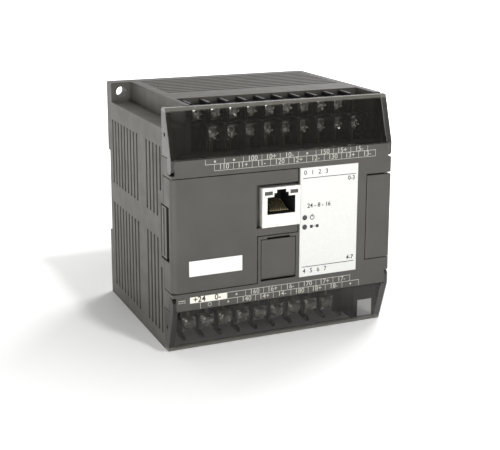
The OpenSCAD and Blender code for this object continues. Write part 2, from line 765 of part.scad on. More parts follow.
// Board with a hole at each post
module post_board(half_w, half_h, at) difference() {
    slab(-half_w, half_w, at, at + board_t, -half_h, half_h);
    for (sx = [-1, 1], sz = [-1, 1])
        rod(sx * post_x, sz * post_z, at - 1, at + board_t + 1, post_screw_r + 0.1);
}

module main_board() color("darkgreen") post_board(board_w2, board_h2, main_at);
module power_board() color("darkgreen") post_board(board_w2, board_h2, power_at);
module front_board() color("darkgreen") post_board(front_w2, front_h2, front_at);

// Six-sided posts with a stud at the back, threaded at the front
module posts(d0, d1, stud) for (sx = [-1, 1], sz = [-1, 1]) difference() {
    union() {
        rod(sx * post_x, sz * post_z, d0, d1, post_flats / sqrt(3), 6);
        rod(sx * post_x, sz * post_z, d0 - stud, d0 + eps, post_screw_r);
    }
    rod(sx * post_x, sz * post_z, d1 - 6, d1 + 1, post_screw_r + 0.1);
}

module rear_posts() color("goldenrod") posts(power_at + board_t, main_at, 6);
module front_posts() color("goldenrod") posts(main_at + board_t, front_at, 6);

module board_nuts() color("silver") for (sx = [-1, 1], sz = [-1, 1]) {
    rod(sx * post_x, sz * post_z, front_at + board_t, front_at + board_t + 1.6, 2.4);
    rod(sx * post_x, sz * post_z, front_at - 4, front_at + board_t + eps, post_screw_r);
}

// Stacked pin socket between the main and the front board
module stack_header() color("black")
    slab(-6, 14, main_at + board_t, front_at, -post_z - 1, -post_z + 4);

module power_header() color("black")
    slab(18, 34, power_at + board_t, main_at, -board_h2 + 4, -board_h2 + 9);

core_x = -18;
core_z = 2;
core_h = 24;
core_w = 24;
core_d = 17;
module transformer_core() color("darkgray") difference() {
    slab(core_x - core_w / 2, core_x + core_w / 2, power_at + board_t + 1,
        power_at + board_t + 1 + core_d, core_z - core_h / 2, core_z + core_h / 2);
    for (s = [-1, 1])
        slab(core_x + s * 7 - 3.2, core_x + s * 7 + 3.2, power_at, power_at + 40,
            core_z - core_h / 2 + 4.5, core_z + core_h / 2 - 4.5);
}

module transformer_coil() color("goldenrod") difference() {
    slab(core_x - 10, core_x + 10, power_at + board_t, power_at + board_t + core_d + 2,
        core_z - core_h / 2 + 4.6, core_z + core_h / 2 - 4.6);
    slab(core_x - 3.9, core_x + 3.9, power_at + board_t + 0.9, power_at + board_t + 1.1 + core_d,
        core_z - core_h / 2, core_z + core_h / 2);
}

module capacitors() color("midnightblue") for (x = [6, 18, 30])
    rod(x, 22, power_at + board_t, main_at - 4, 5);

module choke() color("chocolate") difference() {
    rod(14, 2, power_at + board_t, power_at + board_t + 6, 7);
    rod(14, 2, power_at, power_at + board_t + 7, 3);
}

module isolators() color("black") for (x = [-34, -14], z = [-1, 1])
    slab(x, x + 14, main_at + board_t, main_at + board_t + 8,
        z > 0 ? 5.5 : -13.5, z > 0 ? 13.5 : -5.5);

module processor() color("black")
    slab(12, 26, main_at + board_t, main_at + board_t + 1.4, -7, 7);

module converter_chips() color("black") for (x = [-28, -16, -4, 8, 20])
    slab(x, x + 7, main_at + board_t, main_at + board_t + 1.6, -board_h2 + 1.5, -board_h2 + 6.5);

// ---------- network socket ----------

// Plug opening in X and Z: the body, the latch step and the latch nose
module plug_outline() {
    translate([jack_x - plug_w / 2, plug_bottom]) square([plug_w, plug_h]);
    translate([jack_x - 3.1, plug_bottom + plug_h - eps]) square([6.2, 1.5]);
    translate([jack_x - 2, plug_bottom + plug_h + 1.5 - 2 * eps]) square([4, 1.3]);
}

// Lamp windows of the socket
module jack_lamp(s, d0, d1, grow = 0)
    slab(jack_x + s * 5.4 - 1.7 - grow, jack_x + s * 5.4 + 1.7 + grow, d0, d1,
        jack_top - 2.9 - grow, jack_top - 1.4 + grow);

module jack_case() color("gainsboro") difference() {
    slab(jack_left, jack_right, jack_at, jack_face, jack_bottom, jack_top);
    slab(jack_left + jack_wall, jack_right - jack_wall, jack_at - 1, jack_face - jack_wall,
        jack_bottom + jack_wall, jack_top - jack_wall);
    along_depth(jack_face - 2, jack_face + 1) plug_outline();
    for (s = [-1, 1]) jack_lamp(s, jack_face - 2, jack_face + 1);
}

module jack_insert() color("black") difference() {
    slab(jack_left + jack_wall + fit_gap, jack_right - jack_wall - fit_gap, front_at + board_t,
        jack_face - jack_wall, jack_bottom + jack_wall + fit_gap, jack_top - jack_wall - fit_gap);
    along_depth(jack_face - plug_depth, jack_face + 1) plug_outline();
    for (s = [-1, 1]) jack_lamp(s, jack_face - 8, jack_face + 1, fit_gap);
}

module jack_contacts() color("gold") for (i = [0 : 7]) translate([jack_x + (i - 3.5) * 1.02, 0, 0]) {
    slab(-0.2, 0.2, jack_face - plug_depth, jack_face - 3, plug_bottom, plug_bottom + 0.4);
    slab(-0.2, 0.2, jack_face - 3.4, jack_face - 3, plug_bottom + 0.4 - eps, plug_bottom + 2);
    slab(-0.2, 0.2, jack_face - plug_depth, jack_face - 3, plug_bottom + 2 - eps, plug_bottom + 2.3);
}

module jack_lamps() color("darkolivegreen")
    for (s = [-1, 1]) jack_lamp(s, jack_face - 8, jack_face - 0.1);

// ---------- service door ----------

module service_door() color("dimgray") difference() {
    union() {
        slab(door_left, door_left + door_w, body_d - door_t, body_d, door_axis_z, door_top);
        cross_rod(door_left, door_left + door_w, door_axis_at, door_axis_z, door_bead_r);
    }
    cross_rod(door_left - 1, door_left + door_w + 1, door_axis_at, door_axis_z,
        door_pin_r + run_gap);
}

module door_pin() color("silver")
    cross_rod(door_left - gap - 1, door_left + door_w + gap + 1, door_axis_at, door_axis_z,
        door_pin_r);

module service_shell() color("silver") difference() {
    rod(door_x, service_z, front_at + board_t, pocket_floor_at + 2, service_r);
    rod(door_x, service_z, front_at, pocket_floor_at + 3, service_r - 0.5);
}

module service_insert() color("black") difference() {
    rod(door_x, service_z, front_at + board_t, pocket_floor_at, service_r - 0.5 - fit_gap);
    for (i = [0 : 7]) rotate_about(door_x, service_z, i * 45)
        rod(door_x + 2.4, service_z, pocket_floor_at - 4, pocket_floor_at + 1, 0.45);
}

// Turns something about an axis along the depth
module rotate_about(x, z, angle)
    translate([x, 0, z]) rotate([0, angle, 0]) translate([-x, 0, -z]) children();

module service_pins() color("gold") for (i = [0 : 7]) rotate_about(door_x, service_z, i * 45)
    rod(door_x + 2.4, service_z, pocket_floor_at - 4, pocket_floor_at + 1.4, 0.35, 16);

// ---------- side ports ----------

module right_port_cover() color("dimgray") {
    slab(port_left, w2, body_d - plate_t, body_d, port_bottom, port_top);
    slab(w2 - plate_t, w2, body_d - port_skirt, body_d, port_bottom, port_top);
}

module right_header() color("black") difference() {
    slab(header_x - header_w / 2, header_x + header_w / 2, front_at + board_t,
        body_d - plate_t - 3.2, header_z - header_h / 2, header_z + header_h / 2);
    slab(header_x - header_w / 2 + 1, header_x + header_w / 2 - 1, front_at + board_t + 3,
        body_d, header_z - header_h / 2 + 1.2, header_z + header_h / 2 - 1.2);
}

module right_header_pins() color("gold") for (s = [-1, 1], i = [0 : 7])
    translate([header_x + s * 1.27, 0, header_z + (i - 3.5) * 2.54])
        slab(-0.3, 0.3, front_at + board_t + 3, front_at + board_t + 8, -0.3, 0.3);

module left_port_cover() color("darkgray") {
    slab(-w2 + 0.1, -w2 + 1.5, pocket_at + pocket_gap, pocket_at + pocket_plate_w,
        pocket_z - pocket_h / 2 + pocket_gap, pocket_z + pocket_h / 2 - pocket_gap);
    for (s = [-1, 1])
        translate([0, 0, pocket_z + s * (pocket_h / 2 - pocket_gap - gap - plug_leg / 2)])
            slab(-w2 + 1.5 - eps, -w2 + 5, pocket_at + 1.5, pocket_at + pocket_plate_w - 1,
                -plug_leg / 2, plug_leg / 2);
    slab(-w2 - 0.2, -w2 + 0.1 + eps, pocket_at + 2.4, pocket_at + 3.6,
        pocket_z - pocket_h / 2 + 1.5, pocket_z + pocket_h / 2 - 1.5);
}

module left_socket() color("black") difference() {
    slab(-w2 + 1.8, -w2 + 8, pocket_at + gap, pocket_at + gap + bus_w,
        pocket_z - bus_h / 2, pocket_z + bus_h / 2);
    for (s = [-1, 1])
        slab(-w2 + 1, -w2 + 6, pocket_at + gap + bus_w / 2 + s * 1.27 - 0.5,
            pocket_at + gap + bus_w / 2 + s * 1.27 + 0.5,
            pocket_z - bus_h / 2 + 1.2, pocket_z + bus_h / 2 - 1.2);
}

module left_socket_tails() color("gold") for (i = [0 : 6])
    translate([0, 0, pocket_z + (i - 3) * 2.54])
        slab(-w2 + 6.3, -w2 + 6.9, front_at + board_t, pocket_at + gap, -0.3, 0.3);

// ---------- rail clip ----------

module rail_clip() color("darkgray") difference() {
    union() {
        slab(-clip_w / 2, clip_w / 2, 0.1, clip_in, clip_foot, recess_bottom - 0.5);
        slab(-clip_w / 2 - flange_w, clip_w / 2 + flange_w, clip_in - flange_t, clip_in,
            clip_foot + 1, recess_bottom - 0.5);
        slab(-clip_w / 2, clip_w / 2, 0.1, hook_t, recess_bottom - 1, clip_top);
    }
    slab(-window_w / 2, window_w / 2, -1, clip_in + 1,
        window_top - spring_free - ledge_h - clip_travel - 1, window_top);
    slab(-4, 4, -1, clip_in - 1.2, clip_foot + 0.9, clip_foot + 2.2);
}

// Coil drawn as rings of points swept along a helix
module clip_spring() color("silver") {
    sides = 8;
    per_turn = 12;
    count = spring_turns * per_turn;
    wire_r = spring_wire / 2;
    points = [for (i = [0 : count], j = [0 : sides - 1])
        let (turn = 360 * i / per_turn, around = 360 * j / sides,
            r = spring_r + wire_r * cos(around))
        [r * cos(turn), r * sin(turn),
            wire_r + (spring_free - spring_wire) * i / count + wire_r * sin(around)]];
    skin = [for (i = [0 : count - 1], j = [0 : sides - 1], second = [0, 1])
        let (a = i * sides, b = a + sides, k = (j + 1) % sides)
        second ? [a + j, b + k, b + j] : [a + j, a + k, b + k]];
    translate([0, y_at(clip_in / 2 + 0.2), window_top - spring_free])
        polyhedron(points = points, faces = concat(skin,
            [[for (j = [sides - 1 : -1 : 0]) j]],
            [[for (j = [0 : sides - 1]) count * sides + j]]));
}

module housing_screws() color("silver") both_halves() for (x = pillar_xs) difference() {
    union() {
        rod(x, pillar_z, 0.4, 0.4 + long_head_h, long_head_r);
        rod(x, pillar_z, 0.4 + long_head_h - eps, back_wall + long_screw_l - 1,
            long_screw_r - 0.05);
    }
    slab(x - 1.6, x + 1.6, 0, 1.3, pillar_z - 0.35, pillar_z + 0.35);
    slab(x - 0.35, x + 0.35, 0, 1.3, pillar_z - 1.6, pillar_z + 1.6);
}

rear_base();
middle_shell();
front_frame();
face_cover();
blank_sticker();
label_plate();
status_lamps();
top_cover();
bottom_cover();
top_terminal_block();
bottom_terminal_block();
top_rear_screws();
top_front_screws();
bottom_rear_screws();
bottom_front_screws();
top_clamp_plates();
bottom_clamp_plates();
top_contacts();
bottom_contacts();
top_terminal_board();
bottom_terminal_board();
top_board_link();
bottom_board_link();
main_board();
front_board();
power_board();
rear_posts();
front_posts();
board_nuts();
stack_header();
power_header();
jack_case();
jack_insert();
jack_contacts();
jack_lamps();
service_door();
door_pin();
service_shell();
service_insert();
service_pins();
right_port_cover();
right_header();
right_header_pins();
left_port_cover();
left_socket();
left_socket_tails();
rail_clip();
clip_spring();
housing_screws();
transformer_core();
transformer_coil();
capacitors();
isolators();
processor();
converter_chips();
choke();
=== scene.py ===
"""Looks for a rail-mounted controller module: finishes, screws, wires, printed legends and the studio.

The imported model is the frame: X to the right, Y to the back, Z up, in metres.
"""

import logging
import math
from dataclasses import dataclass
from enum import Enum

import bmesh
import bpy
import numpy as np
from mathutils import Matrix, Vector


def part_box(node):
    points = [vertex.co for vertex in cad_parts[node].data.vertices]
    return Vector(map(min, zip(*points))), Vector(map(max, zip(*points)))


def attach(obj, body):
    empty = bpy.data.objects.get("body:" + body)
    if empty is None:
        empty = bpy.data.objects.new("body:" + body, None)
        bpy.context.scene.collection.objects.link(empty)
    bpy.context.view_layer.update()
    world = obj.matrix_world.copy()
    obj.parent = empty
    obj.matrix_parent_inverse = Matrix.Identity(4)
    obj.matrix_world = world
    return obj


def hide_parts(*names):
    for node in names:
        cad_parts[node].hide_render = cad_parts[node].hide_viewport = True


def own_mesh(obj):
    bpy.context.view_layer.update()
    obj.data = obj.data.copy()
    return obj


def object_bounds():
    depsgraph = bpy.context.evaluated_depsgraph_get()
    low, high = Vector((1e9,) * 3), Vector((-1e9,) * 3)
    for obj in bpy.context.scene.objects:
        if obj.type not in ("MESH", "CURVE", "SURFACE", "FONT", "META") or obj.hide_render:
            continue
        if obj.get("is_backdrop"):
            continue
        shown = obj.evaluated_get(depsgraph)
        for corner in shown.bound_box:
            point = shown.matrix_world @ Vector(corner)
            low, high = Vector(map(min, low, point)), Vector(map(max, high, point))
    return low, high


Tree = bpy.types.NodeTree
Socket = bpy.types.NodeSocket
Material = bpy.types.Material
Piece = bpy.types.Object

MM = 0.001
SHADE = "#0b0b0a"
WHITE = (1.0, 1.0, 1.0, 1.0)
LOG = logging.getLogger("controller_module")


class Metal(Enum):
    """Metals and platings as (name, sRGB hex, roughness)."""

    NICKEL = ("nickel_plated_steel", "#f0eee6", 0.15)
    BRIGHT_TIN = ("bright_tinned_steel", "#efeee6", 0.34)
    TINNED_COPPER = ("tinned_copper", "#8f8672", 0.38)
    GOLD_FLASH = ("gold_flashed_bronze", "#f3e2b4", 0.25)
    TURNED_BRASS = ("turned_brass", "#b99a58", 0.32)
    SPRING_WIRE = ("drawn_spring_wire", "#9a9a98", 0.28)


def linear_colour(code: str) -> tuple[float, float, float, float]:
    """Turns an sRGB hex colour into linear values.

    Args:
        code: colour such as "#5c5a55".

    Returns:
        Linear red, green, blue and an alpha of 1.
    """
    parts = [int(code[i : i + 2], 16) / 255 for i in (1, 3, 5)]
    linear = [p / 12.92 if p <= 0.04045 else ((p + 0.055) / 1.055) ** 2.4 for p in parts]
    return (*linear, 1.0)


def add_node(
    tree: Tree, kind: str, values: dict | None = None, links: dict | None = None, **settings
) -> bpy.types.Node:
    """Adds one shader node.

    Args:
        tree: node tree that takes it.
        kind: node type, such as "ShaderNodeTexNoise".
        values: constants by input name or number.
        links: output sockets by input name or number.
        **settings: attributes of the node.

    Returns:
        The new node.
    """
    node = tree.nodes.new(kind)
    for key, value in settings.items():
        setattr(node, key, value)
    for key, value in (values or {}).items():
        node.inputs[key].default_value = value
    for key, socket in (links or {}).items():
        tree.links.new(socket, node.inputs[key])
    return node


def new_material(name: str) -> tuple[Material, Tree, bpy.types.Node, Socket]:
    """Makes a material that holds one Principled shader.

    Args:
        name: the material's name.

    Returns:
        The material, its tree, the shader and the object-space coordinate.
    """
    material = bpy.data.materials.new(name)
    material.use_nodes = True
    tree = material.node_tree
    shader = tree.nodes["Principled BSDF"]
    place = add_node(tree, "ShaderNodeTexCoord").outputs["Object"]
    return material, tree, shader, place


def noise(tree: Tree, place: Socket, size_mm: float, detail: float = 3.0) -> Socket:
    """Noise whose blotches are about size_mm across, from the object-space place."""
    values = {"Scale": 1 / (size_mm * MM), "Detail": detail}
    return add_node(tree, "ShaderNodeTexNoise", values, {"Vector": place}).outputs["Fac"]


def spread(
    tree: Tree, source: Socket, low: float, high: float, start: float = 0.3, end: float = 0.7
) -> Socket:
    """Maps source from start..end to low..high, clamped."""
    values = {"From Min": start, "From Max": end, "To Min": low, "To Max": high}
    return add_node(tree, "ShaderNodeMapRange", values, {"Value": source}).outputs["Result"]


def blend_colours(tree: Tree, share: Socket, first: str | Socket, second: str) -> Socket:
    """Mixes two colours, given as hex or a socket, by share."""
    mix = add_node(tree, "ShaderNodeMix", {7: linear_colour(second)}, {0: share}, data_type="RGBA")
    if isinstance(first, str):
        mix.inputs[6].default_value = linear_colour(first)
    else:
        tree.links.new(first, mix.inputs[6])
    return mix.outputs[2]


def rounded_normal(tree: Tree, radius_mm: float) -> Socket:
    """Normal that rolls over sharp edges as a moulded radius does."""
    return add_node(tree, "ShaderNodeBevel", {"Radius": radius_mm * MM}, samples=6).outputs["Normal"]


def crevice_share(tree: Tree, reach_mm: float, most: float) -> Socket:
    """Share of shade in slots and seams: up to most where the surface is hemmed in within reach_mm."""
    reach = {"Distance": reach_mm * MM}
    open_share = add_node(tree, "ShaderNodeAmbientOcclusion", reach, samples=12).outputs["AO"]
    return spread(tree, open_share, most, 0.0, 0.25, 0.75)


def edge_share(tree: Tree, rolled: Socket, gain: float) -> Socket:
    """How far the rolled normal leaves the flat one: 0 on a flat, towards gain on an edge. This is the mask
    of the painted edge highlights.
    """
    flat = add_node(tree, "ShaderNodeNewGeometry").outputs["Normal"]
    dot = add_node(tree, "ShaderNodeVectorMath", None, {0: rolled, 1: flat}, operation="DOT_PRODUCT")
    return spread(tree, dot.outputs["Value"], gain, 0.0, 0.75, 0.99)


def recess_share(tree: Tree, place: Socket, axis: str, skin_mm: float) -> Socket:
    """Share of unlit black on walls that face down an axis from behind the skin, such as a pocket's floor.

    Args:
        tree: node tree that takes it.
        place: object-space coordinate.
        axis: "X" for walls that face left, "Y" for walls that face forward.
        skin_mm: the skin's place on that axis; only what lies behind it darkens.

    Returns:
        The share, 0 to 0.9.
    """
    facing = add_node(tree, "ShaderNodeNewGeometry").outputs["Normal"]
    turn = add_node(tree, "ShaderNodeSeparateXYZ", None, {0: facing}).outputs[axis]
    along = add_node(tree, "ShaderNodeSeparateXYZ", None, {0: place}).outputs[axis]
    downward = spread(tree, turn, 1.0, 0.0, -0.9, -0.6)
    deep = spread(tree, along, 0.0, 0.9, skin_mm * MM, (0.3 + skin_mm) * MM)
    return add_node(tree, "ShaderNodeMath", None, {0: downward, 1: deep}, operation="MULTIPLY").outputs[0]


@dataclass(frozen=True)
class MouldedPlastic:
    """Injection-moulded plastic: matt spark-eroded grain, with a painted highlight on its edges, painted
    shade in slots and seams and, where recess is set, painted shade on recessed walls.
    """

    name: str
    base: str
    patch: str
    # edge: colour of the painted highlight on edges
    edge: str
    grain_mm: float = 0.35  # real grain is 0.05 to 0.1 mm; drawn coarser so that it shows
    roughness: float = 0.55
    radius_mm: float = 0.25
    recess: tuple[str, float] | None = None
    reach_mm: float = 2.5

    def build(self) -> Material:
        """Returns the material."""
        material, tree, shader, place = new_material(self.name)
        rolled = rounded_normal(tree, self.radius_mm)
        cloud = noise(tree, place, 14, 4)
        colour = blend_colours(tree, spread(tree, cloud, 0, 1), self.base, self.patch)
        # Painted highlight: edges blend towards the paler edge colour.
        colour = blend_colours(tree, edge_share(tree, rolled, 0.35), colour, self.edge)
        # Painted shade: slots and seams blend towards SHADE by ambient occlusion.
        colour = blend_colours(tree, crevice_share(tree, self.reach_mm, 0.85), colour, SHADE)
        if self.recess:
            # Painted shade: recessed walls blend towards SHADE.
            colour = blend_colours(tree, recess_share(tree, place, *self.recess), colour, SHADE)
        grain = noise(tree, place, self.grain_mm, 2)
        relief = {"Strength": 0.12, "Distance": 0.05 * MM}
        bump = add_node(tree, "ShaderNodeBump", relief, {"Height": grain, "Normal": rolled})
        rough = spread(tree, noise(tree, place, 6, 3), self.roughness - 0.06, self.roughness + 0.06)
        tree.links.new(colour, shader.inputs["Base Color"])
        tree.links.new(rough, shader.inputs["Roughness"])
        tree.links.new(bump.outputs["Normal"], shader.inputs["Normal"])
        shader.inputs["IOR"].default_value = 1.53
        return material


@dataclass(frozen=True)
class SmokedPolycarbonate:
    """Smoked clear cover: glossy, thin enough to see through, with faint handling haze."""

    name: str
    base: str
    # rim: colour of the painted highlight on the lip and on rounded rims
    rim: str
    alpha: float
    roughness: float = 0.07
    lip_from: float = 45.6 * MM
    lip_to: float = 46.2 * MM
    end_from: float = 44.2 * MM
    end_to: float = 44.6 * MM

    def build(self) -> Material:
        """Returns the material. The lip, past lip_from off the middle, is thick and so drawn less clear; it
        is painted pale as a highlight, as are the rounded rims.

        The end walls, past end_from, are looked along and so look nearly opaque.
        """
        material, tree, shader, place = new_material(self.name)
        rolled = rounded_normal(tree, 0.35)
        haze = spread(tree, noise(tree, place, 9, 5), self.roughness, self.roughness + 0.1)
        split = add_node(tree, "ShaderNodeSeparateXYZ", None, {0: place}).outputs
        away = add_node(tree, "ShaderNodeMath", None, {0: split["Z"]}, operation="ABSOLUTE").outputs[0]
        lip = spread(tree, away, 0.0, 1.0, self.lip_from, self.lip_to)
        aside = add_node(tree, "ShaderNodeMath", None, {0: split["X"]}, operation="ABSOLUTE").outputs[0]
        clear = spread(tree, aside, self.alpha, 0.86, self.end_from, self.end_to)
        # Painted highlight: the lip and the rounded rims blend towards the pale rim colour and are drawn less
        # clear.
        rim_highlight = edge_share(tree, rolled, 0.6)
        pale = add_node(tree, "ShaderNodeMath", None, {0: lip, 1: rim_highlight}, operation="MAXIMUM").outputs[0]
        tree.links.new(blend_colours(tree, pale, self.base, self.rim), shader.inputs["Base Color"])
        thick = spread(tree, pale, 0.0, 0.8, 0.0, 1.0)
        solid = add_node(tree, "ShaderNodeMath", None, {0: clear, 1: thick}, operation="MAXIMUM")
        tree.links.new(solid.outputs[0], shader.inputs["Alpha"])
        tree.links.new(haze, shader.inputs["Roughness"])
        tree.links.new(rolled, shader.inputs["Normal"])
        shader.inputs["IOR"].default_value = 1.58
        return material


@dataclass(frozen=True)
class BareMetal:
    """Plated, turned or drawn metal: fine scratches in one direction and a little tarnish."""

    metal: Metal
    metallic: float = 1.0
    stretch: tuple[float, float, float] = (1.0, 1.0, 8.0)

    def build(self) -> Material:
        """Returns the material."""
        name, base, roughness = self.metal.value
        material, tree, shader, place = new_material(name)
        drawn = add_node(tree, "ShaderNodeMapping", {"Scale": self.stretch}, {"Vector": place})
        scratch = noise(tree, drawn.outputs["Vector"], 0.5, 3)
        tarnish = spread(tree, noise(tree, place, 3, 4), 0, 1, 0.45, 0.75)
        bright = linear_colour(base)
        dull = (*(0.72 * c for c in bright[:3]), 1.0)
        mix = add_node(tree, "ShaderNodeMix", {6: bright, 7: dull}, {0: tarnish}, data_type="RGBA")
        relief = {"Strength": 0.15, "Distance": 0.02 * MM}
        rolled = rounded_normal(tree, 0.12)
        bump = add_node(tree, "ShaderNodeBump", relief, {"Height": scratch, "Normal": rolled})
        tree.links.new(mix.outputs[2], shader.inputs["Base Color"])
        rough = spread(tree, scratch, roughness - 0.08, roughness + 0.12)
        tree.links.new(rough, shader.inputs["Roughness"])
        tree.links.new(bump.outputs["Normal"], shader.inputs["Normal"])
        shader.inputs["Metallic"].default_value = self.metallic
        return material


@dataclass(frozen=True)
class SolderMask:
    """Glass-epoxy board under green solder mask: raised tracks show as paler lines on a 2.54 mm grid."""

    name: str = "green_solder_mask"
    pitch_mm: float = 2.54

    def build(self) -> Material:
        """Returns the material."""
        material, tree, shader, place = new_material(self.name)
        scale = {"Scale": 1 / (self.pitch_mm * MM)}
        cells = add_node(tree, "ShaderNodeTexVoronoi", scale, {"Vector": place}, distance="MANHATTAN")
        track = spread(tree, cells.outputs["Distance"], 1, 0, 0.42, 0.5)
        tree.links.new(blend_colours(tree, track, "#0d4a26", "#2a7a43"), shader.inputs["Base Color"])
        bump = add_node(tree, "ShaderNodeBump", {"Strength": 0.3, "Distance": 0.04 * MM}, {"Height": track})
        tree.links.new(bump.outputs["Normal"], shader.inputs["Normal"])
        tree.links.new(spread(tree, noise(tree, place, 4), 0.28, 0.42), shader.inputs["Roughness"])
        return material


@dataclass(frozen=True)
class Banded:
    """Something laid up in parallel layers: laminations, wound tape or wound wire."""

    name: str
    base: str
    line: str
    pitch_mm: float
    axis: str
    roughness: float
    metallic: float = 0.0

    def build(self) -> Material:
        """Returns the material. A wave of one band per pitch needs a scale of 1 / pitch / (20 / 2 pi)."""
        material, tree, shader, place = new_material(self.name)
        values = {"Scale": 2 * math.pi / (20 * self.pitch_mm * MM), "Distortion": 0.2}
        bands = add_node(tree, "ShaderNodeTexWave", values, {"Vector": place}, bands_direction=self.axis)
        wave = bands.outputs["Fac"]
        colour = blend_colours(tree, spread(tree, wave, 1, 0, 0.1, 0.45), self.base, self.line)
        tree.links.new(colour, shader.inputs["Base Color"])
        bump = add_node(tree, "ShaderNodeBump", {"Strength": 0.4, "Distance": 0.1 * MM}, {"Height": wave})
        tree.links.new(bump.outputs["Normal"], shader.inputs["Normal"])
        rough = spread(tree, noise(tree, place, 2), self.roughness - 0.06, self.roughness + 0.06)
        tree.links.new(rough, shader.inputs["Roughness"])
        shader.inputs["Metallic"].default_value = self.metallic
        return material


@dataclass(frozen=True)
class PaperFilm:
    """Printed film or paper: an even coat with a faint fibre mottle."""

    name: str
    base: str
    mottle: str
    roughness: float

    def build(self) -> Material:
        """Returns the material."""
        material, tree, shader, place = new_material(self.name)
        fibre = noise(tree, place, 0.8, 5)
        colour = blend_colours(tree, spread(tree, fibre, 0, 1), self.base, self.mottle)
        tree.links.new(colour, shader.inputs["Base Color"])
        bump = add_node(tree, "ShaderNodeBump", {"Strength": 0.05, "Distance": 0.02 * MM}, {"Height": fibre})
        tree.links.new(bump.outputs["Normal"], shader.inputs["Normal"])
        rough = spread(tree, fibre, self.roughness - 0.05, self.roughness + 0.05)
        tree.links.new(rough, shader.inputs["Roughness"])
        return material


@dataclass(frozen=True)
class Lens:
    """Tinted lens of an unlit lamp: glossy, with a darker die behind it."""

    name: str
    base: str
    core: str

    def build(self) -> Material:
        """Returns the material."""
        material, tree, shader, place = new_material(self.name)
        depth = noise(tree, place, 0.9, 1)
        colour = blend_colours(tree, spread(tree, depth, 0, 1, 0.4, 0.6), self.base, self.core)
        tree.links.new(colour, shader.inputs["Base Color"])
        tree.links.new(spread(tree, depth, 0.1, 0.22), shader.inputs["Roughness"])
        tree.links.new(rounded_normal(tree, 0.2), shader.inputs["Normal"])
        shader.inputs["Coat Weight"].default_value = 0.5
        return material


class Finishes:
    """Every finish of the module, each made once."""

    def __init__(self) -> None:
        """Builds the materials."""
        # Recess settings as axis and skin: walls facing left inward of x = -45.2 mm, or facing forward behind
        # y = -90 mm, get painted shade.
        left, forward = ("X", -45.2), ("Y", -90.0)
        # The fourth colour of each moulded plastic is its painted edge highlight.
        self.shell = MouldedPlastic("abs_moulded_warm_grey", "#4a4843", "#4f4d47", "#8f8d86").build()
        self.face = MouldedPlastic(
            "abs_moulded_frame_grey", "#43413d", "#484641", "#8d8b84",
            grain_mm=0.3, roughness=0.5, recess=left, reach_mm=3.2,
        ).build()
        self.cover = MouldedPlastic(
            "abs_moulded_cover_grey", "#42403c", "#484641", "#7d7b75",
            roughness=0.48, radius_mm=0.8, recess=left,
        ).build()
        self.port = MouldedPlastic(
            "abs_moulded_mid_grey", "#5a5853", "#605e58", "#8f8d87", recess=forward
        ).build()
        self.block = MouldedPlastic(
            "pbt_moulded_terminal_black", "#0c0c0c", "#111112", "#55534f", roughness=0.42
        ).build()
        self.black = MouldedPlastic(
            "pbt_moulded_black", "#161617", "#1b1b1c", "#3a3a3b", roughness=0.42
        ).build()
        self.clip = MouldedPlastic(
            "pom_moulded_charcoal", "#2b2b2c", "#313132", "#555556", roughness=0.38
        ).build()
        self.epoxy = MouldedPlastic(
            "epoxy_moulded_chip", "#1a1a1c", "#202022", "#3c3c3e", grain_mm=0.2, roughness=0.6
        ).build()
        self.ferrite = MouldedPlastic(
            "pressed_ferrite", "#343230", "#2b2a29", "#4a4846", grain_mm=0.4, roughness=0.7
        ).build()
        # The smoked cover's second colour is its painted rim highlight.
        self.smoked = SmokedPolycarbonate("polycarbonate_smoked", "#1c1915", "#65635c", 0.46).build()
        self.nickel = BareMetal(Metal.NICKEL).build()
        self.tin = BareMetal(Metal.BRIGHT_TIN, 0.45).build()
        self.copper = BareMetal(Metal.TINNED_COPPER).build()
        self.gold = BareMetal(Metal.GOLD_FLASH, 0.8).build()
        self.brass = BareMetal(Metal.TURNED_BRASS, 1.0, (8.0, 1.0, 8.0)).build()
        self.wire = BareMetal(Metal.SPRING_WIRE, 1.0, (1.0, 1.0, 1.0)).build()
        self.board = SolderMask().build()
        self.tape = Banded("wound_polyester_tape", "#c79b2c", "#8e6a17", 1.2, "Y", 0.35).build()
        self.iron = Banded("laminated_silicon_iron", "#55565a", "#26272a", 0.5, "Y", 0.45, 0.7).build()
        self.enamel = Banded("enamelled_copper_wire", "#9a4a22", "#6d3013", 0.6, "Z", 0.28, 0.6).build()
        self.sleeve = MouldedPlastic(
            "shrink_sleeve_navy", "#1b2440", "#202a49", "#3b4664", grain_mm=0.6, roughness=0.3
        ).build()
        self.label = PaperFilm("polyester_label_white", "#dededb", "#d9d9d6", 0.4).build()
        self.sticker = PaperFilm("paper_sticker_white", "#efeeea", "#e9e8e3", 0.6).build()
        self.ink_dark = PaperFilm("screen_ink_black", "#1d1d1f", "#242426", 0.5).build()
        self.ink_light = PaperFilm("pad_print_light_grey", "#bcbab2", "#b2b0a7", 0.55).build()
        self.ink_white = PaperFilm("pad_print_white", "#f0ece0", "#e8e3d6", 0.5).build()
        self.lamp = Lens("lamp_lens_dark_green", "#141a15", "#0c0f0d").build()
        self.jack_lamp = Lens("lamp_lens_olive", "#24251b", "#15160f").build()


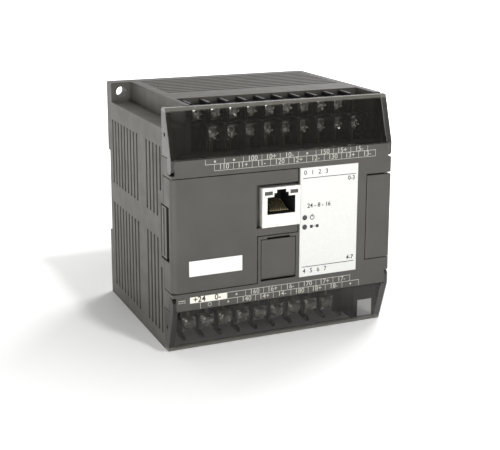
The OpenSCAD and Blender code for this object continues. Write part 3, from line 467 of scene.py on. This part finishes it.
class Sculpt:
    """Collects grids and boxes as whole arrays and turns them into one finished piece."""

    def __init__(self) -> None:
        """Starts empty."""
        self.points: list[np.ndarray] = []
        self.faces: list[list[int]] = []
        self.count = 0

    def grid(self, points: np.ndarray, wrap: bool = True) -> None:
        """Adds a two-parameter surface.

        Args:
            points: array (rows, columns, 3).
            wrap: joins the last column to the first.
        """
        rows, columns = points.shape[:2]
        index = np.arange(rows * columns).reshape(rows, columns) + self.count
        turn = np.roll(index, -1, axis=1) if wrap else index[:, 1:]
        near = index if wrap else index[:, :-1]
        quads = np.stack([near[:-1], turn[:-1], turn[1:], near[1:]], axis=-1).reshape(-1, 4)
        self.points.append(points.reshape(-1, 3))
        self.faces += quads.tolist()
        self.count += rows * columns

    def boxes(self, low: np.ndarray, high: np.ndarray) -> None:
        """Adds closed boxes from arrays (n, 3) of low and high corners."""
        low, high = np.atleast_2d(low), np.atleast_2d(high)
        pick = np.array([[i >> 2 & 1, i >> 1 & 1, i & 1] for i in range(8)])
        corners = low[:, None] * (1 - pick) + high[:, None] * pick
        sides = np.array([[0, 1, 3, 2], [4, 6, 7, 5], [0, 4, 5, 1], [2, 3, 7, 6], [0, 2, 6, 4], [1, 5, 7, 3]])
        quads = sides[None] + self.count + 8 * np.arange(len(low))[:, None, None]
        self.points.append(corners.reshape(-1, 3))
        self.faces += quads.reshape(-1, 4).tolist()
        self.count += 8 * len(low)

    def mesh(self, source: bpy.types.Mesh, turn: np.ndarray, shift: np.ndarray) -> None:
        """Adds a copy of a mesh, turned by a 3 x 3 array and shifted."""
        points = np.zeros(len(source.vertices) * 3)
        source.vertices.foreach_get("co", points)
        self.points.append(points.reshape(-1, 3) @ turn.T + shift)
        self.faces += [[v + self.count for v in face.vertices] for face in source.polygons]
        self.count += len(source.vertices)

    def finish(self, name: str, material: Material, body: str, sharp: float = 35.0) -> Piece:
        """Makes the piece, with its doubles merged and its faces outwards.

        Args:
            name: piece name.
            material: its finish.
            body: body that it rides on.
            sharp: angle in degrees past which an edge stays sharp.

        Returns:
            The object.
        """
        mesh = bpy.data.meshes.new(name)
        mesh.from_pydata(np.concatenate(self.points).tolist(), [], self.faces)
        work = bmesh.new()
        work.from_mesh(mesh)
        bmesh.ops.remove_doubles(work, verts=work.verts, dist=1e-7)
        bmesh.ops.dissolve_degenerate(work, dist=1e-8, edges=work.edges)
        bmesh.ops.recalc_face_normals(work, faces=work.faces)
        work.to_mesh(mesh)
        work.free()
        mesh.shade_smooth()
        mesh.set_sharp_from_angle(angle=math.radians(sharp))
        mesh.materials.append(material)
        piece = bpy.data.objects.new(name, mesh)
        bpy.context.scene.collection.objects.link(piece)
        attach(piece, body)
        LOG.info("%s: %d faces on %s", name, len(mesh.polygons), body)
        return piece


def revolve(radius: np.ndarray, height: np.ndarray, sides: int = 48) -> np.ndarray:
    """Surface of revolution about Z: x = r cos a, y = r sin a, z = h.

    Args:
        radius: profile radii, starting and ending at 0.
        height: profile heights.
        sides: points round the turn.

    Returns:
        Array (profile, sides, 3).
    """
    angle = np.linspace(0, 2 * np.pi, sides, endpoint=False)
    out, up = radius[:, None], np.repeat(height[:, None], sides, 1)
    return np.stack([out * np.cos(angle), out * np.sin(angle), up], axis=-1)


def tube(path: np.ndarray, radius: float, hint: np.ndarray, sides: int = 10) -> np.ndarray:
    """Round bar along a path: centre + r (cos a N + sin a B), where N = T x hint and B = T x N.

    Args:
        path: array (n, 3).
        radius: bar radius.
        hint: direction (3,) or (n, 3) that is never along the path.
        sides: points round the bar.

    Returns:
        Array (n + 2, sides, 3), its ends drawn in to a point.
    """
    along = np.gradient(path, axis=0)
    along /= np.linalg.norm(along, axis=1, keepdims=True)
    across = np.cross(along, np.broadcast_to(hint, path.shape))
    across /= np.linalg.norm(across, axis=1, keepdims=True)
    third = np.cross(along, across)
    angle = np.linspace(0, 2 * np.pi, sides, endpoint=False)[:, None]
    rings = path[:, None] + radius * (np.cos(angle) * across[:, None] + np.sin(angle) * third[:, None])
    cap = np.ones((1, sides, 1))
    return np.concatenate([path[0] * cap, rings, path[-1] * cap])


def smooth_path(points: list[tuple[float, float, float]], count: int) -> np.ndarray:
    """Path through points by a Catmull-Rom curve: each span is the cubic of its four neighbours.

    Args:
        points: places on the path.
        count: samples along it.

    Returns:
        Array (count, 3).
    """
    p = np.array([points[0], *points, points[-1]], float)
    t = np.linspace(0, len(points) - 1 - 1e-9, count)
    i = t.astype(int)
    u = (t - i)[:, None]
    a, b, c, d = p[i], p[i + 1], p[i + 2], p[i + 3]
    return 0.5 * (2 * b + (c - a) * u + (2 * a - 5 * b + 4 * c - d) * u**2 + (3 * b - 3 * c + d - a) * u**3)


def dress(material: Material, *nodes: str) -> None:
    """Gives CAD nodes a finish.

    Args:
        material: the finish.
        *nodes: node names.
    """
    for name in nodes:
        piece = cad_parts[name]
        if not piece.material_slots:
            piece.data.materials.append(material)
        for slot in piece.material_slots:
            slot.material = material
        LOG.info("%s: %s", name, material.name)


@dataclass
class HousingShells:
    """The rear base, middle shell, front frame and their screws."""

    finishes: Finishes

    def build(self) -> None:
        """Dresses the shells and the long screws."""
        dress(self.finishes.shell, "rear_base", "middle_shell")
        dress(self.finishes.face, "front_frame")
        dress(self.finishes.nickel, "housing_screws")


@dataclass
class TerminalRow:
    """One row of nine pan-head screws with cross recesses."""

    finishes: Finishes
    node: str
    count: int = 9
    head_height: float = 2.0 * MM
    arm_width: float = 0.42 * MM
    arm_depth: float = 0.9 * MM
    sides: int = 64

    def head(self, radius: float, shank: float, length: float, turn: np.ndarray) -> np.ndarray:
        """Surfaces of all screws about Z.

        The top is a dome, h (1 - 0.42 (r/R)^2), less a cross: each arm sinks by a ramp of the distance to its
        middle line, and fades out towards the arm's end. The side rolls under to the shank.

        Args:
            radius: head radius.
            shank: shank radius.
            length: shank length.
            turn: array of turns, one a screw, in radians.

        Returns:
            Array (screws, rings, sides, 3).
        """
        ring = np.linspace(0, 1, 22)[:, None] * radius * 0.96
        angle = np.linspace(0, 2 * np.pi, self.sides, endpoint=False)[None]
        u = ring * np.cos(angle[None] - turn[:, None, None])
        v = ring * np.sin(angle[None] - turn[:, None, None])

        def arm(side: np.ndarray, run: np.ndarray) -> np.ndarray:
            """Depth share of one arm: 1 in the middle, 0 outside."""
            wide = np.clip((self.arm_width * 1.25 - np.abs(side)) / (self.arm_width * 0.5), 0, 1)
            long = np.clip((radius * 0.68 - np.abs(run)) / (radius * 0.25), 0, 1)
            return wide * long

        cross = np.maximum(arm(u, v), arm(v, u))
        top = self.head_height * (1 - 0.42 * (ring / radius) ** 2) - self.arm_depth * cross
        over = [np.broadcast_to(ring * wave(angle), top.shape) for wave in (np.cos, np.sin)]
        flat = np.stack([*over, top], -1)
        side_r = np.array([1.0, 1.0, 0.97, shank / radius, shank / radius, 0.0]) * radius
        side_h = np.array([0.55 * self.head_height, 0.15 * self.head_height, 0, 0, -length, -length])
        under = np.broadcast_to(revolve(side_r, side_h, self.sides), (len(turn), 6, self.sides, 3))
        return np.concatenate([flat, under], axis=1)

    def build(self, twist: float) -> Piece:
        """Makes the row's screws in place of the CAD ones.

        Args:
            twist: shifts the turns, so that no two rows match.

        Returns:
            The piece.
        """
        low, high = (np.array(c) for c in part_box(self.node))
        radius = (high[2] - low[2]) / 2
        turn = np.array([(0.9 * i + twist) % 1.57 for i in range(self.count)])
        screws = self.head(radius, 1.5 * MM, high[1] - low[1] - self.head_height, turn)
        where_x = np.linspace(low[0] + radius, high[0] - radius, self.count)
        sculpt = Sculpt()
        seat, middle = low[1] + self.head_height, (low[2] + high[2]) / 2
        for x, screw in zip(where_x, screws):
            sculpt.grid(np.stack([x + screw[..., 0], seat - screw[..., 2], middle + screw[..., 1]], -1))
        piece = sculpt.finish(self.node + "_crossed", self.finishes.nickel, "housing", 50)
        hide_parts(self.node)
        return piece


@dataclass
class Terminals:
    """Both terminal blocks with their barriers, contacts, clamp plates and screws."""

    finishes: Finishes

    def build(self) -> None:
        """Dresses the blocks and makes the four rows of screws."""
        dress(self.finishes.block, "top_terminal_block", "bottom_terminal_block")
        dress(self.finishes.nickel, "top_clamp_plates", "bottom_clamp_plates")
        dress(self.finishes.copper, "top_contacts", "bottom_contacts")
        rows = ("top_rear_screws", "top_front_screws", "bottom_rear_screws", "bottom_front_screws")
        for i, node in enumerate(rows):
            TerminalRow(self.finishes, node).build(0.37 * i)


@dataclass
class TerminalCovers:
    """The two hinged smoked covers."""

    finishes: Finishes

    def build(self) -> None:
        """Dresses the covers."""
        dress(self.finishes.smoked, "top_cover", "bottom_cover")


@dataclass
class NetworkSocket:
    """Shielded eight-way socket with sprung contact wires and two lamp windows."""

    finishes: Finishes
    wire_radius: float = 0.21 * MM
    pitch: float = 1.02 * MM

    def build(self) -> None:
        """Dresses the socket and sweeps its eight contact wires."""
        dress(self.finishes.tin, "jack_case")
        dress(self.finishes.black, "jack_insert")
        dress(self.finishes.jack_lamp, "jack_lamps")
        low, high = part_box("jack_contacts")
        front, floor, middle = low.y, low.z, (low.x + high.x) / 2
        shape = [(0.2, 0.95), (0.9, 0.6), (1.9, 0.9), (6.5, 2.9), (8.5, 3.2), (10.2, 3.2)]
        path = smooth_path([(0.0, y * MM, z * MM) for y, z in shape], 40)
        sculpt = Sculpt()
        for i in range(8):
            start = np.array([middle + (i - 3.5) * self.pitch, front - 1.2 * MM, floor])
            sculpt.grid(tube(path + start, self.wire_radius, np.array([1.0, 0, 0])))
        piece = sculpt.finish("jack_contact_wires", self.finishes.gold, "housing", 60)
        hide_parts("jack_contacts")


@dataclass
class FaceParts:
    """Face cover, stickers, service door with its socket, port covers and lamps."""

    finishes: Finishes

    def build(self) -> None:
        """Dresses the parts."""
        dress(self.finishes.cover, "face_cover", "service_door", "right_port_cover")
        dress(self.finishes.port, "left_port_cover")
        dress(self.finishes.label, "label_plate")
        dress(self.finishes.sticker, "blank_sticker")
        dress(self.finishes.lamp, "status_lamps")
        dress(self.finishes.tin, "service_shell")
        dress(self.finishes.black, "service_insert", "right_header", "left_socket")
        dress(self.finishes.gold, "service_pins", "right_header_pins")
        dress(self.finishes.copper, "left_socket_tails")
        dress(self.finishes.nickel, "door_pin")


@dataclass
class RailClip:
    """The sliding rail clip and its coil spring."""

    finishes: Finishes
    turns: float = 7.0
    wire: float = 0.2 * MM

    def build(self) -> None:
        """Dresses the clip and winds the spring: (r cos a, r sin a, h a / 2 pi), closed at its ends.
        """
        dress(self.finishes.clip, "rail_clip")
        low, high = (np.array(c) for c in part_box("clip_spring"))
        middle, coil = (low + high) / 2, (high[0] - low[0]) / 2 - self.wire
        share = np.linspace(0, 1, 360)
        angle = 2 * np.pi * (self.turns + 2) * share
        rise = np.interp(share, [0, 0.11, 0.89, 1], [0, 0.05, 0.95, 1])
        height = low[2] + self.wire + (high[2] - low[2] - 2 * self.wire) * rise
        path = np.stack([middle[0] + coil * np.cos(angle), middle[1] + coil * np.sin(angle), height], -1)
        sculpt = Sculpt()
        sculpt.grid(tube(path, self.wire, np.array([0, 0, 1.0])))
        spring = sculpt.finish("clip_coil_spring", self.finishes.wire, "housing", 80)
        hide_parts("clip_spring")
        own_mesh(spring)


@dataclass
class BoardStack:
    """Circuit boards with what they carry."""

    finishes: Finishes

    def capacitor(self, radius: float, length: float) -> np.ndarray:
        """Sleeved can: rounded base with a rolled groove, straight wall, and a slightly sunk end."""
        share = np.array([0, 0.55, 0.6, 0.93, 1, 1, 0.9, 1, 1, 0.96, 0.86, 0.82, 0])
        rise = np.array([0, 0, 0.01, 0.0, 0.03, 0.1, 0.14, 0.18, 0.97, 0.995, 1, 0.98, 0.98])
        return revolve(share * radius, rise * length)

    def build(self) -> None:
        """Dresses the boards, turns the capacitors and winds the choke."""
        make = self.finishes
        boards = ("main_board", "front_board", "power_board", "top_terminal_board", "bottom_terminal_board")
        dress(make.board, *boards)
        dress(make.brass, "rear_posts", "front_posts")
        dress(make.nickel, "board_nuts")
        dress(make.black, "stack_header", "power_header", "top_board_link", "bottom_board_link", "isolators")
        dress(make.epoxy, "processor", "converter_chips")
        dress(make.iron, "transformer_core")
        dress(make.tape, "transformer_coil")
        dress(make.ferrite, "choke")
        self.capacitors()
        self.choke()
        self.chip_legs()

    def capacitors(self) -> None:
        """Turns three cans, standing forward from the power board."""
        low, high = (np.array(c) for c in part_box("capacitors"))
        radius, middle = (high[2] - low[2]) / 2, (high[2] + low[2]) / 2
        can = self.capacitor(radius, high[1] - low[1])
        sculpt = Sculpt()
        for x in np.linspace(low[0] + radius, high[0] - radius, 3):
            sculpt.grid(np.stack([x + can[..., 0], high[1] - can[..., 2], middle + can[..., 1]], -1))
        cans = sculpt.finish("smoothing_capacitors", self.finishes.sleeve, "housing", 40)
        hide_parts("capacitors")

    def choke(self) -> None:
        """Winds wire round the ring: the ring angle t runs once, the section angle a many times."""
        low, high = (np.array(c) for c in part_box("choke"))
        middle, outer, thick = (low + high) / 2, (high[0] - low[0]) / 2, (high[1] - low[1]) / 2
        inner, gap, turns, wire = 3.0 * MM, 0.2, 26, 0.28 * MM
        t = np.linspace(gap, 2 * np.pi - gap, 1300)
        a = turns * (t - gap)
        square = 1 / np.maximum(np.abs(np.cos(a)), np.abs(np.sin(a))) * 0.93
        wide, tall = (outer - inner) / 2 + 0.3 * MM, thick + 0.3 * MM
        r = (outer + inner) / 2 + wide * np.cos(a) * square
        path = middle + np.stack([r * np.cos(t), tall * np.sin(a) * square, r * np.sin(t)], -1)
        hint = np.stack([-np.sin(t), 0 * t, np.cos(t)], -1)
        sculpt = Sculpt()
        sculpt.grid(tube(path, wire, hint, 8))
        sculpt.finish("choke_winding", self.finishes.enamel, "housing", 80)

    def chip_legs(self) -> None:
        """Bends gull-wing legs along both long sides of the chips."""
        sculpt = Sculpt()
        low, high = (np.array(c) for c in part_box("processor"))
        leg = [(-0.7, 0.0), (-0.7, 0.4), (-0.35, 0.7), (-0.06, 0.95), (-0.05, 1.5)]
        for sign in (-1.0, 1.0):
            edge = high[2] if sign > 0 else low[2]
            for x in np.linspace(low[0] + MM, high[0] - MM, 16):
                line = smooth_path([(0.0, y * MM, sign * z * MM) for y, z in leg], 10)
                sculpt.grid(tube(line + np.array([x, high[1], edge]), 0.12 * MM, np.array([1.0, 0, 0]), 6))
        sculpt.finish("processor_legs", self.finishes.copper, "housing", 60)


@dataclass
class Legends:
    """Printed legends: outlines and numbers on the terminal bands, digits and rules on the label plate."""

    finishes: Finishes
    face: float = 0.0
    pitch: float = 7.62
    line: float = 0.16
    film: float = 0.03
    sink: float = 0.01

    def bars(self, sculpt: Sculpt, rects: list[tuple[float, float, float, float]]) -> None:
        """Adds raised bars on the face.

        Args:
            sculpt: collector.
            rects: left, right, bottom and top of each bar, in millimetres.
        """
        edges = np.array(rects) * MM
        low = np.stack([edges[:, 0], np.full(len(edges), self.face - self.film * MM), edges[:, 2]], -1)
        high = np.stack([edges[:, 1], np.full(len(edges), self.face + self.sink * MM), edges[:, 3]], -1)
        sculpt.boxes(low, high)

    def discs(
        self, sculpt: Sculpt, places: list[tuple[float, float]], radius: float, hole: float = 0.0
    ) -> None:
        """Adds flat discs or rings: a low profile turned about Y."""
        outer, inner, film, sink = radius * MM, hole * MM, self.film * MM, -self.sink * MM
        if hole:
            across, up = [inner, inner, outer, outer, inner], [sink, film, film, sink, sink]
        else:
            across, up = [0, outer, outer, 0], [film, film, sink, sink]
        profile = revolve(np.array(across), np.array(up), 28)
        for x, z in places:
            flat = [x * MM + profile[..., 0], self.face - profile[..., 2], z * MM + profile[..., 1]]
            sculpt.grid(np.stack(flat, -1))

    def words(
        self, sculpt: Sculpt, items: list[tuple[str, float, float]], height: float, bold: float = 0.012
    ) -> None:
        """Adds numbers, each centred at its place.

        Args:
            sculpt: collector.
            items: text, x and z in millimetres.
            height: size in millimetres.
            bold: how far each stroke is widened, in millimetres.
        """
        turn = np.array([[1.0, 0, 0], [0, 0, -1.0], [0, 1.0, 0]])
        for text, x, z in items:
            curve = bpy.data.curves.new("digits", "FONT")
            curve.body, curve.size, curve.extrude = text, height * MM, self.film * MM / 2
            curve.align_x, curve.align_y = "CENTER", "CENTER"
            curve.resolution_u, curve.offset = 3, bold * MM
            holder = bpy.data.objects.new("digits", curve)
            bpy.context.scene.collection.objects.link(holder)
            bpy.context.view_layer.update()
            solved = holder.evaluated_get(bpy.context.evaluated_depsgraph_get())
            flat = bpy.data.meshes.new_from_object(solved)
            sculpt.mesh(flat, turn, np.array([x * MM, self.face - self.film * MM / 2, z * MM]))
            bpy.data.objects.remove(holder)
            bpy.data.curves.remove(curve)
            bpy.data.meshes.remove(flat)

    def row(
        self, sculpt: Sculpt, left: float, low: float, high: float, texts: list[str], base_line: bool
    ) -> None:
        """Adds one row of cells with what is printed in them.

        Args:
            sculpt: collector.
            left: left edge.
            low: bottom edge.
            high: top edge.
            texts: one entry a cell; "." is a dot and "o" a ring.
            base_line: draws the line under the row.
        """
        half = self.line / 2
        right = left + self.pitch * len(texts)
        edges = [left + i * self.pitch for i in range(len(texts) + 1)]
        rects = [(x - half, x + half, low, high) for x in edges]
        if base_line:
            rects.append((left - half, right + half, low - half, low + half))
        self.bars(sculpt, rects)
        middle = (low + high) / 2
        at = [left + (i + 0.5) * self.pitch for i in range(len(texts))]
        self.discs(sculpt, [(x, middle) for x, t in zip(at, texts) if t == "."], 0.42)
        self.discs(sculpt, [(x, middle) for x, t in zip(at, texts) if t == "o"], 0.8, 0.6)
        self.words(sculpt, [(t, x, middle) for x, t in zip(at, texts) if t not in ".o"], 2.8)

    def build(self) -> None:
        """Prints the bands and the label plate."""
        self.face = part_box("front_frame")[0].y
        bands = Sculpt()
        top_upper = [".", ".", "100", "10+", "10-", ".", "150", "15+", "15-"]
        top_lower = ["110", "11+", "11-", "120", "12+", "12-", "130", "13+", "13-"]
        self.row(bands, -33.0, 26.2, 28.2, top_upper, False)
        self.row(bands, -29.4, 23.7, 26.2, top_lower, True)
        self.bars(bands, [(-33.1, 39.3, 26.1, 26.3)])
        low_upper = [".", "160", "16+", "16-", "170", "17+", "17-"]
        low_lower = ["o", ".", "140", "14+", "14-", "180", "18+", "18-", "."]
        supply = -39.6
        after = supply + 2 * self.pitch
        self.row(bands, after, -27.0, -24.4, low_upper, False)
        self.bars(bands, [(after, 29.2, -24.6, -24.4)])
        self.row(bands, -35.4, -29.45, -27.0, low_lower, False)
        self.bars(bands, [(-35.5, 33.3, -27.1, -26.9)])
        dashes = [(-44.2 + i, -43.5 + i, -26.4, -26.15) for i in (0.0, 1.05, 2.1)]
        self.bars(bands, [(-44.2, -41.4, -25.6, -25.35), *dashes])
        bands.finish("terminal_band_print", self.finishes.ink_light, "housing", 40)
        boxes = Sculpt()
        self.bars(boxes, [(supply, after - 0.2, -26.9, -24.5)])
        boxes.finish("supply_cells_print", self.finishes.ink_white, "housing", 40)
        self.face -= self.film * MM
        dark = Sculpt()
        self.words(dark, [("+24", -35.8, -25.7), ("0-", -28.3, -25.7)], 3.2, 0.05)
        dark.finish("supply_numbers_print", self.finishes.ink_dark, "housing", 40)
        self.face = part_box("label_plate")[0].y
        plate = Sculpt()
        upper = [(str(i), 8.3 + 3.1 * i, 19.5) for i in range(4)]
        digits = upper + [(str(i + 4), 8.3 + 3.1 * i, -20.3) for i in range(4)]
        self.words(plate, digits, 2.6)
        self.bars(plate, [(7.3, 30.5, 17.25, 17.5), (7.3, 30.5, -18.65, -18.4)])
        self.words(plate, [("24 - 8 - 16", 14.4, 6.2), ("0-3", 28.6, 15.8), ("4-7", 28.6, -16.9)], 2.4, 0.04)
        self.discs(plate, [(11.5, 1.5)], 1.0, 0.72)
        self.bars(plate, [(11.38, 11.62, 1.6, 2.9)])
        self.bars(plate, [(10.6, 11.8, -2.8, -1.6), (13.2, 14.4, -2.8, -1.6), (11.8, 13.2, -2.3, -2.1)])
        plate.finish("label_print", self.finishes.ink_dark, "housing", 40)


@dataclass
class Studio:
    """Pale floor, soft light and the camera."""

    lens: float = 74.191
    shift: float = -0.1
    place: tuple[float, float, float] = (-0.1666, -0.42538, 0.10915)
    azimuth: float = -23.662
    elevation: float = 13.166
    roll: float = 0.183

    def camera(self) -> None:
        """Adds the camera: right, up and back axes from azimuth, elevation and roll."""
        az, el, ro = (math.radians(v) for v in (self.azimuth, self.elevation, self.roll))
        ahead = np.array([-math.sin(az) * math.cos(el), math.cos(az) * math.cos(el), -math.sin(el)])
        right = np.array([math.cos(az), math.sin(az), 0.0])
        up = np.cross(right, ahead)
        side = right * math.cos(ro) + up * math.sin(ro)
        head = up * math.cos(ro) - right * math.sin(ro)
        data = bpy.data.cameras.new("camera")
        data.lens, data.sensor_width, data.shift_y = self.lens, 36.0, self.shift
        data.clip_start, data.clip_end = 0.01, 20.0
        camera = bpy.data.objects.new("camera", data)
        matrix = np.eye(4)
        matrix[:3] = np.stack([side, head, -ahead, self.place], -1)
        camera.matrix_world = Matrix(matrix.tolist())
        bpy.context.scene.collection.objects.link(camera)
        bpy.context.scene.camera = camera

    def lamp(self, name: str, place: tuple[float, float, float], power: float, size: float) -> None:
        """Adds a square area lamp that faces the module."""
        data = bpy.data.lights.new(name, "AREA")
        data.energy, data.size = power, size
        lamp = bpy.data.objects.new(name, data)
        bpy.context.scene.collection.objects.link(lamp)
        back = np.array(place) - np.array([0, -0.04, 0])
        back /= np.linalg.norm(back)
        right = np.cross([0, 0, 1.0], back)
        right /= np.linalg.norm(right)
        matrix = np.eye(4)
        matrix[:3] = np.stack([right, np.cross(back, right), back, place], -1)
        lamp.matrix_world = Matrix(matrix.tolist())

    def build(self) -> None:
        """Makes floor, sky, lamps and camera."""
        scene = bpy.context.scene
        scene.view_settings.view_transform = "Standard"
        floor = Sculpt()
        span = np.array([[[-4, -4, 0], [-4, 4, 0]], [[4, -4, 0], [4, 4, 0]]], float)
        span[..., 2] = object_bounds()[0].z
        floor.grid(span, wrap=False)
        mesh = bpy.data.meshes.new("floor")
        mesh.from_pydata(np.concatenate(floor.points).tolist(), [], [face[::-1] for face in floor.faces])
        paper = PaperFilm("studio_floor", "#f7f7f6", "#f4f4f3", 0.8).build()
        tree = paper.node_tree
        glow = tree.nodes["Principled BSDF"].inputs
        place = add_node(tree, "ShaderNodeTexCoord").outputs["Object"]
        far = add_node(tree, "ShaderNodeVectorMath", None, {0: place}, operation="LENGTH").outputs["Value"]
        glow["Emission Color"].default_value = WHITE
        tree.links.new(spread(tree, far, 0.0, 0.9, 0.07, 0.3), glow["Emission Strength"])
        paper.cycles.emission_sampling = "NONE"
        mesh.materials.append(paper)
        ground = bpy.data.objects.new("floor", mesh)
        scene.collection.objects.link(ground)
        ground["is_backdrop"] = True
        self.sky(scene)
        self.lamp("left_low", (-0.5, -0.38, 0.1), 1.25, 0.3)
        self.lamp("right_back", (0.75, 0.5, 0.6), 8.0, 0.5)
        self.lamp("camera_side", (-0.35, -0.85, 0.32), 1.9, 0.25)
        self.lamp("glint", (0.1, -0.45, 0.75), 2.6, 0.06)
        self.camera()

    def sky(self, scene: bpy.types.Scene) -> None:
        """White to look at; as light, white behind the module and darker elsewhere, by the direction's Y."""
        world = bpy.data.worlds.new("studio")
        scene.world = world
        world.use_nodes = True
        tree = world.node_tree
        direction = add_node(tree, "ShaderNodeTexCoord").outputs["Generated"]
        depth = add_node(tree, "ShaderNodeSeparateXYZ", None, {0: direction}).outputs["Y"]
        strength = spread(tree, depth, 0.22, 1.0, 0.4, 0.8)
        seen = add_node(tree, "ShaderNodeLightPath").outputs["Is Camera Ray"]
        either = add_node(tree, "ShaderNodeMath", None, {0: strength, 1: seen}, operation="MAXIMUM")
        tree.links.new(either.outputs[0], tree.nodes["Background"].inputs["Strength"])
        tree.nodes["Background"].inputs["Color"].default_value = WHITE


def main() -> None:
    """Builds every sub-assembly in order."""
    logging.basicConfig(level=logging.INFO, format="%(name)s: %(message)s")
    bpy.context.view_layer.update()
    finishes = Finishes()
    Studio().build()
    HousingShells(finishes).build()
    Terminals(finishes).build()
    TerminalCovers(finishes).build()
    NetworkSocket(finishes).build()
    FaceParts(finishes).build()
    RailClip(finishes).build()
    BoardStack(finishes).build()
    Legends(finishes).build()


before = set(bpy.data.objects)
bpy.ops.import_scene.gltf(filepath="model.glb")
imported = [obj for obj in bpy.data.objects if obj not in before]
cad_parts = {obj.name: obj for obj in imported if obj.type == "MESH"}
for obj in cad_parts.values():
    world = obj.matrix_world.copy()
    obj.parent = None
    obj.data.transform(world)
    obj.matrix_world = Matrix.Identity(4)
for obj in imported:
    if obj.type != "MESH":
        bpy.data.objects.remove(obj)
if __name__ == "__main__":
    main()
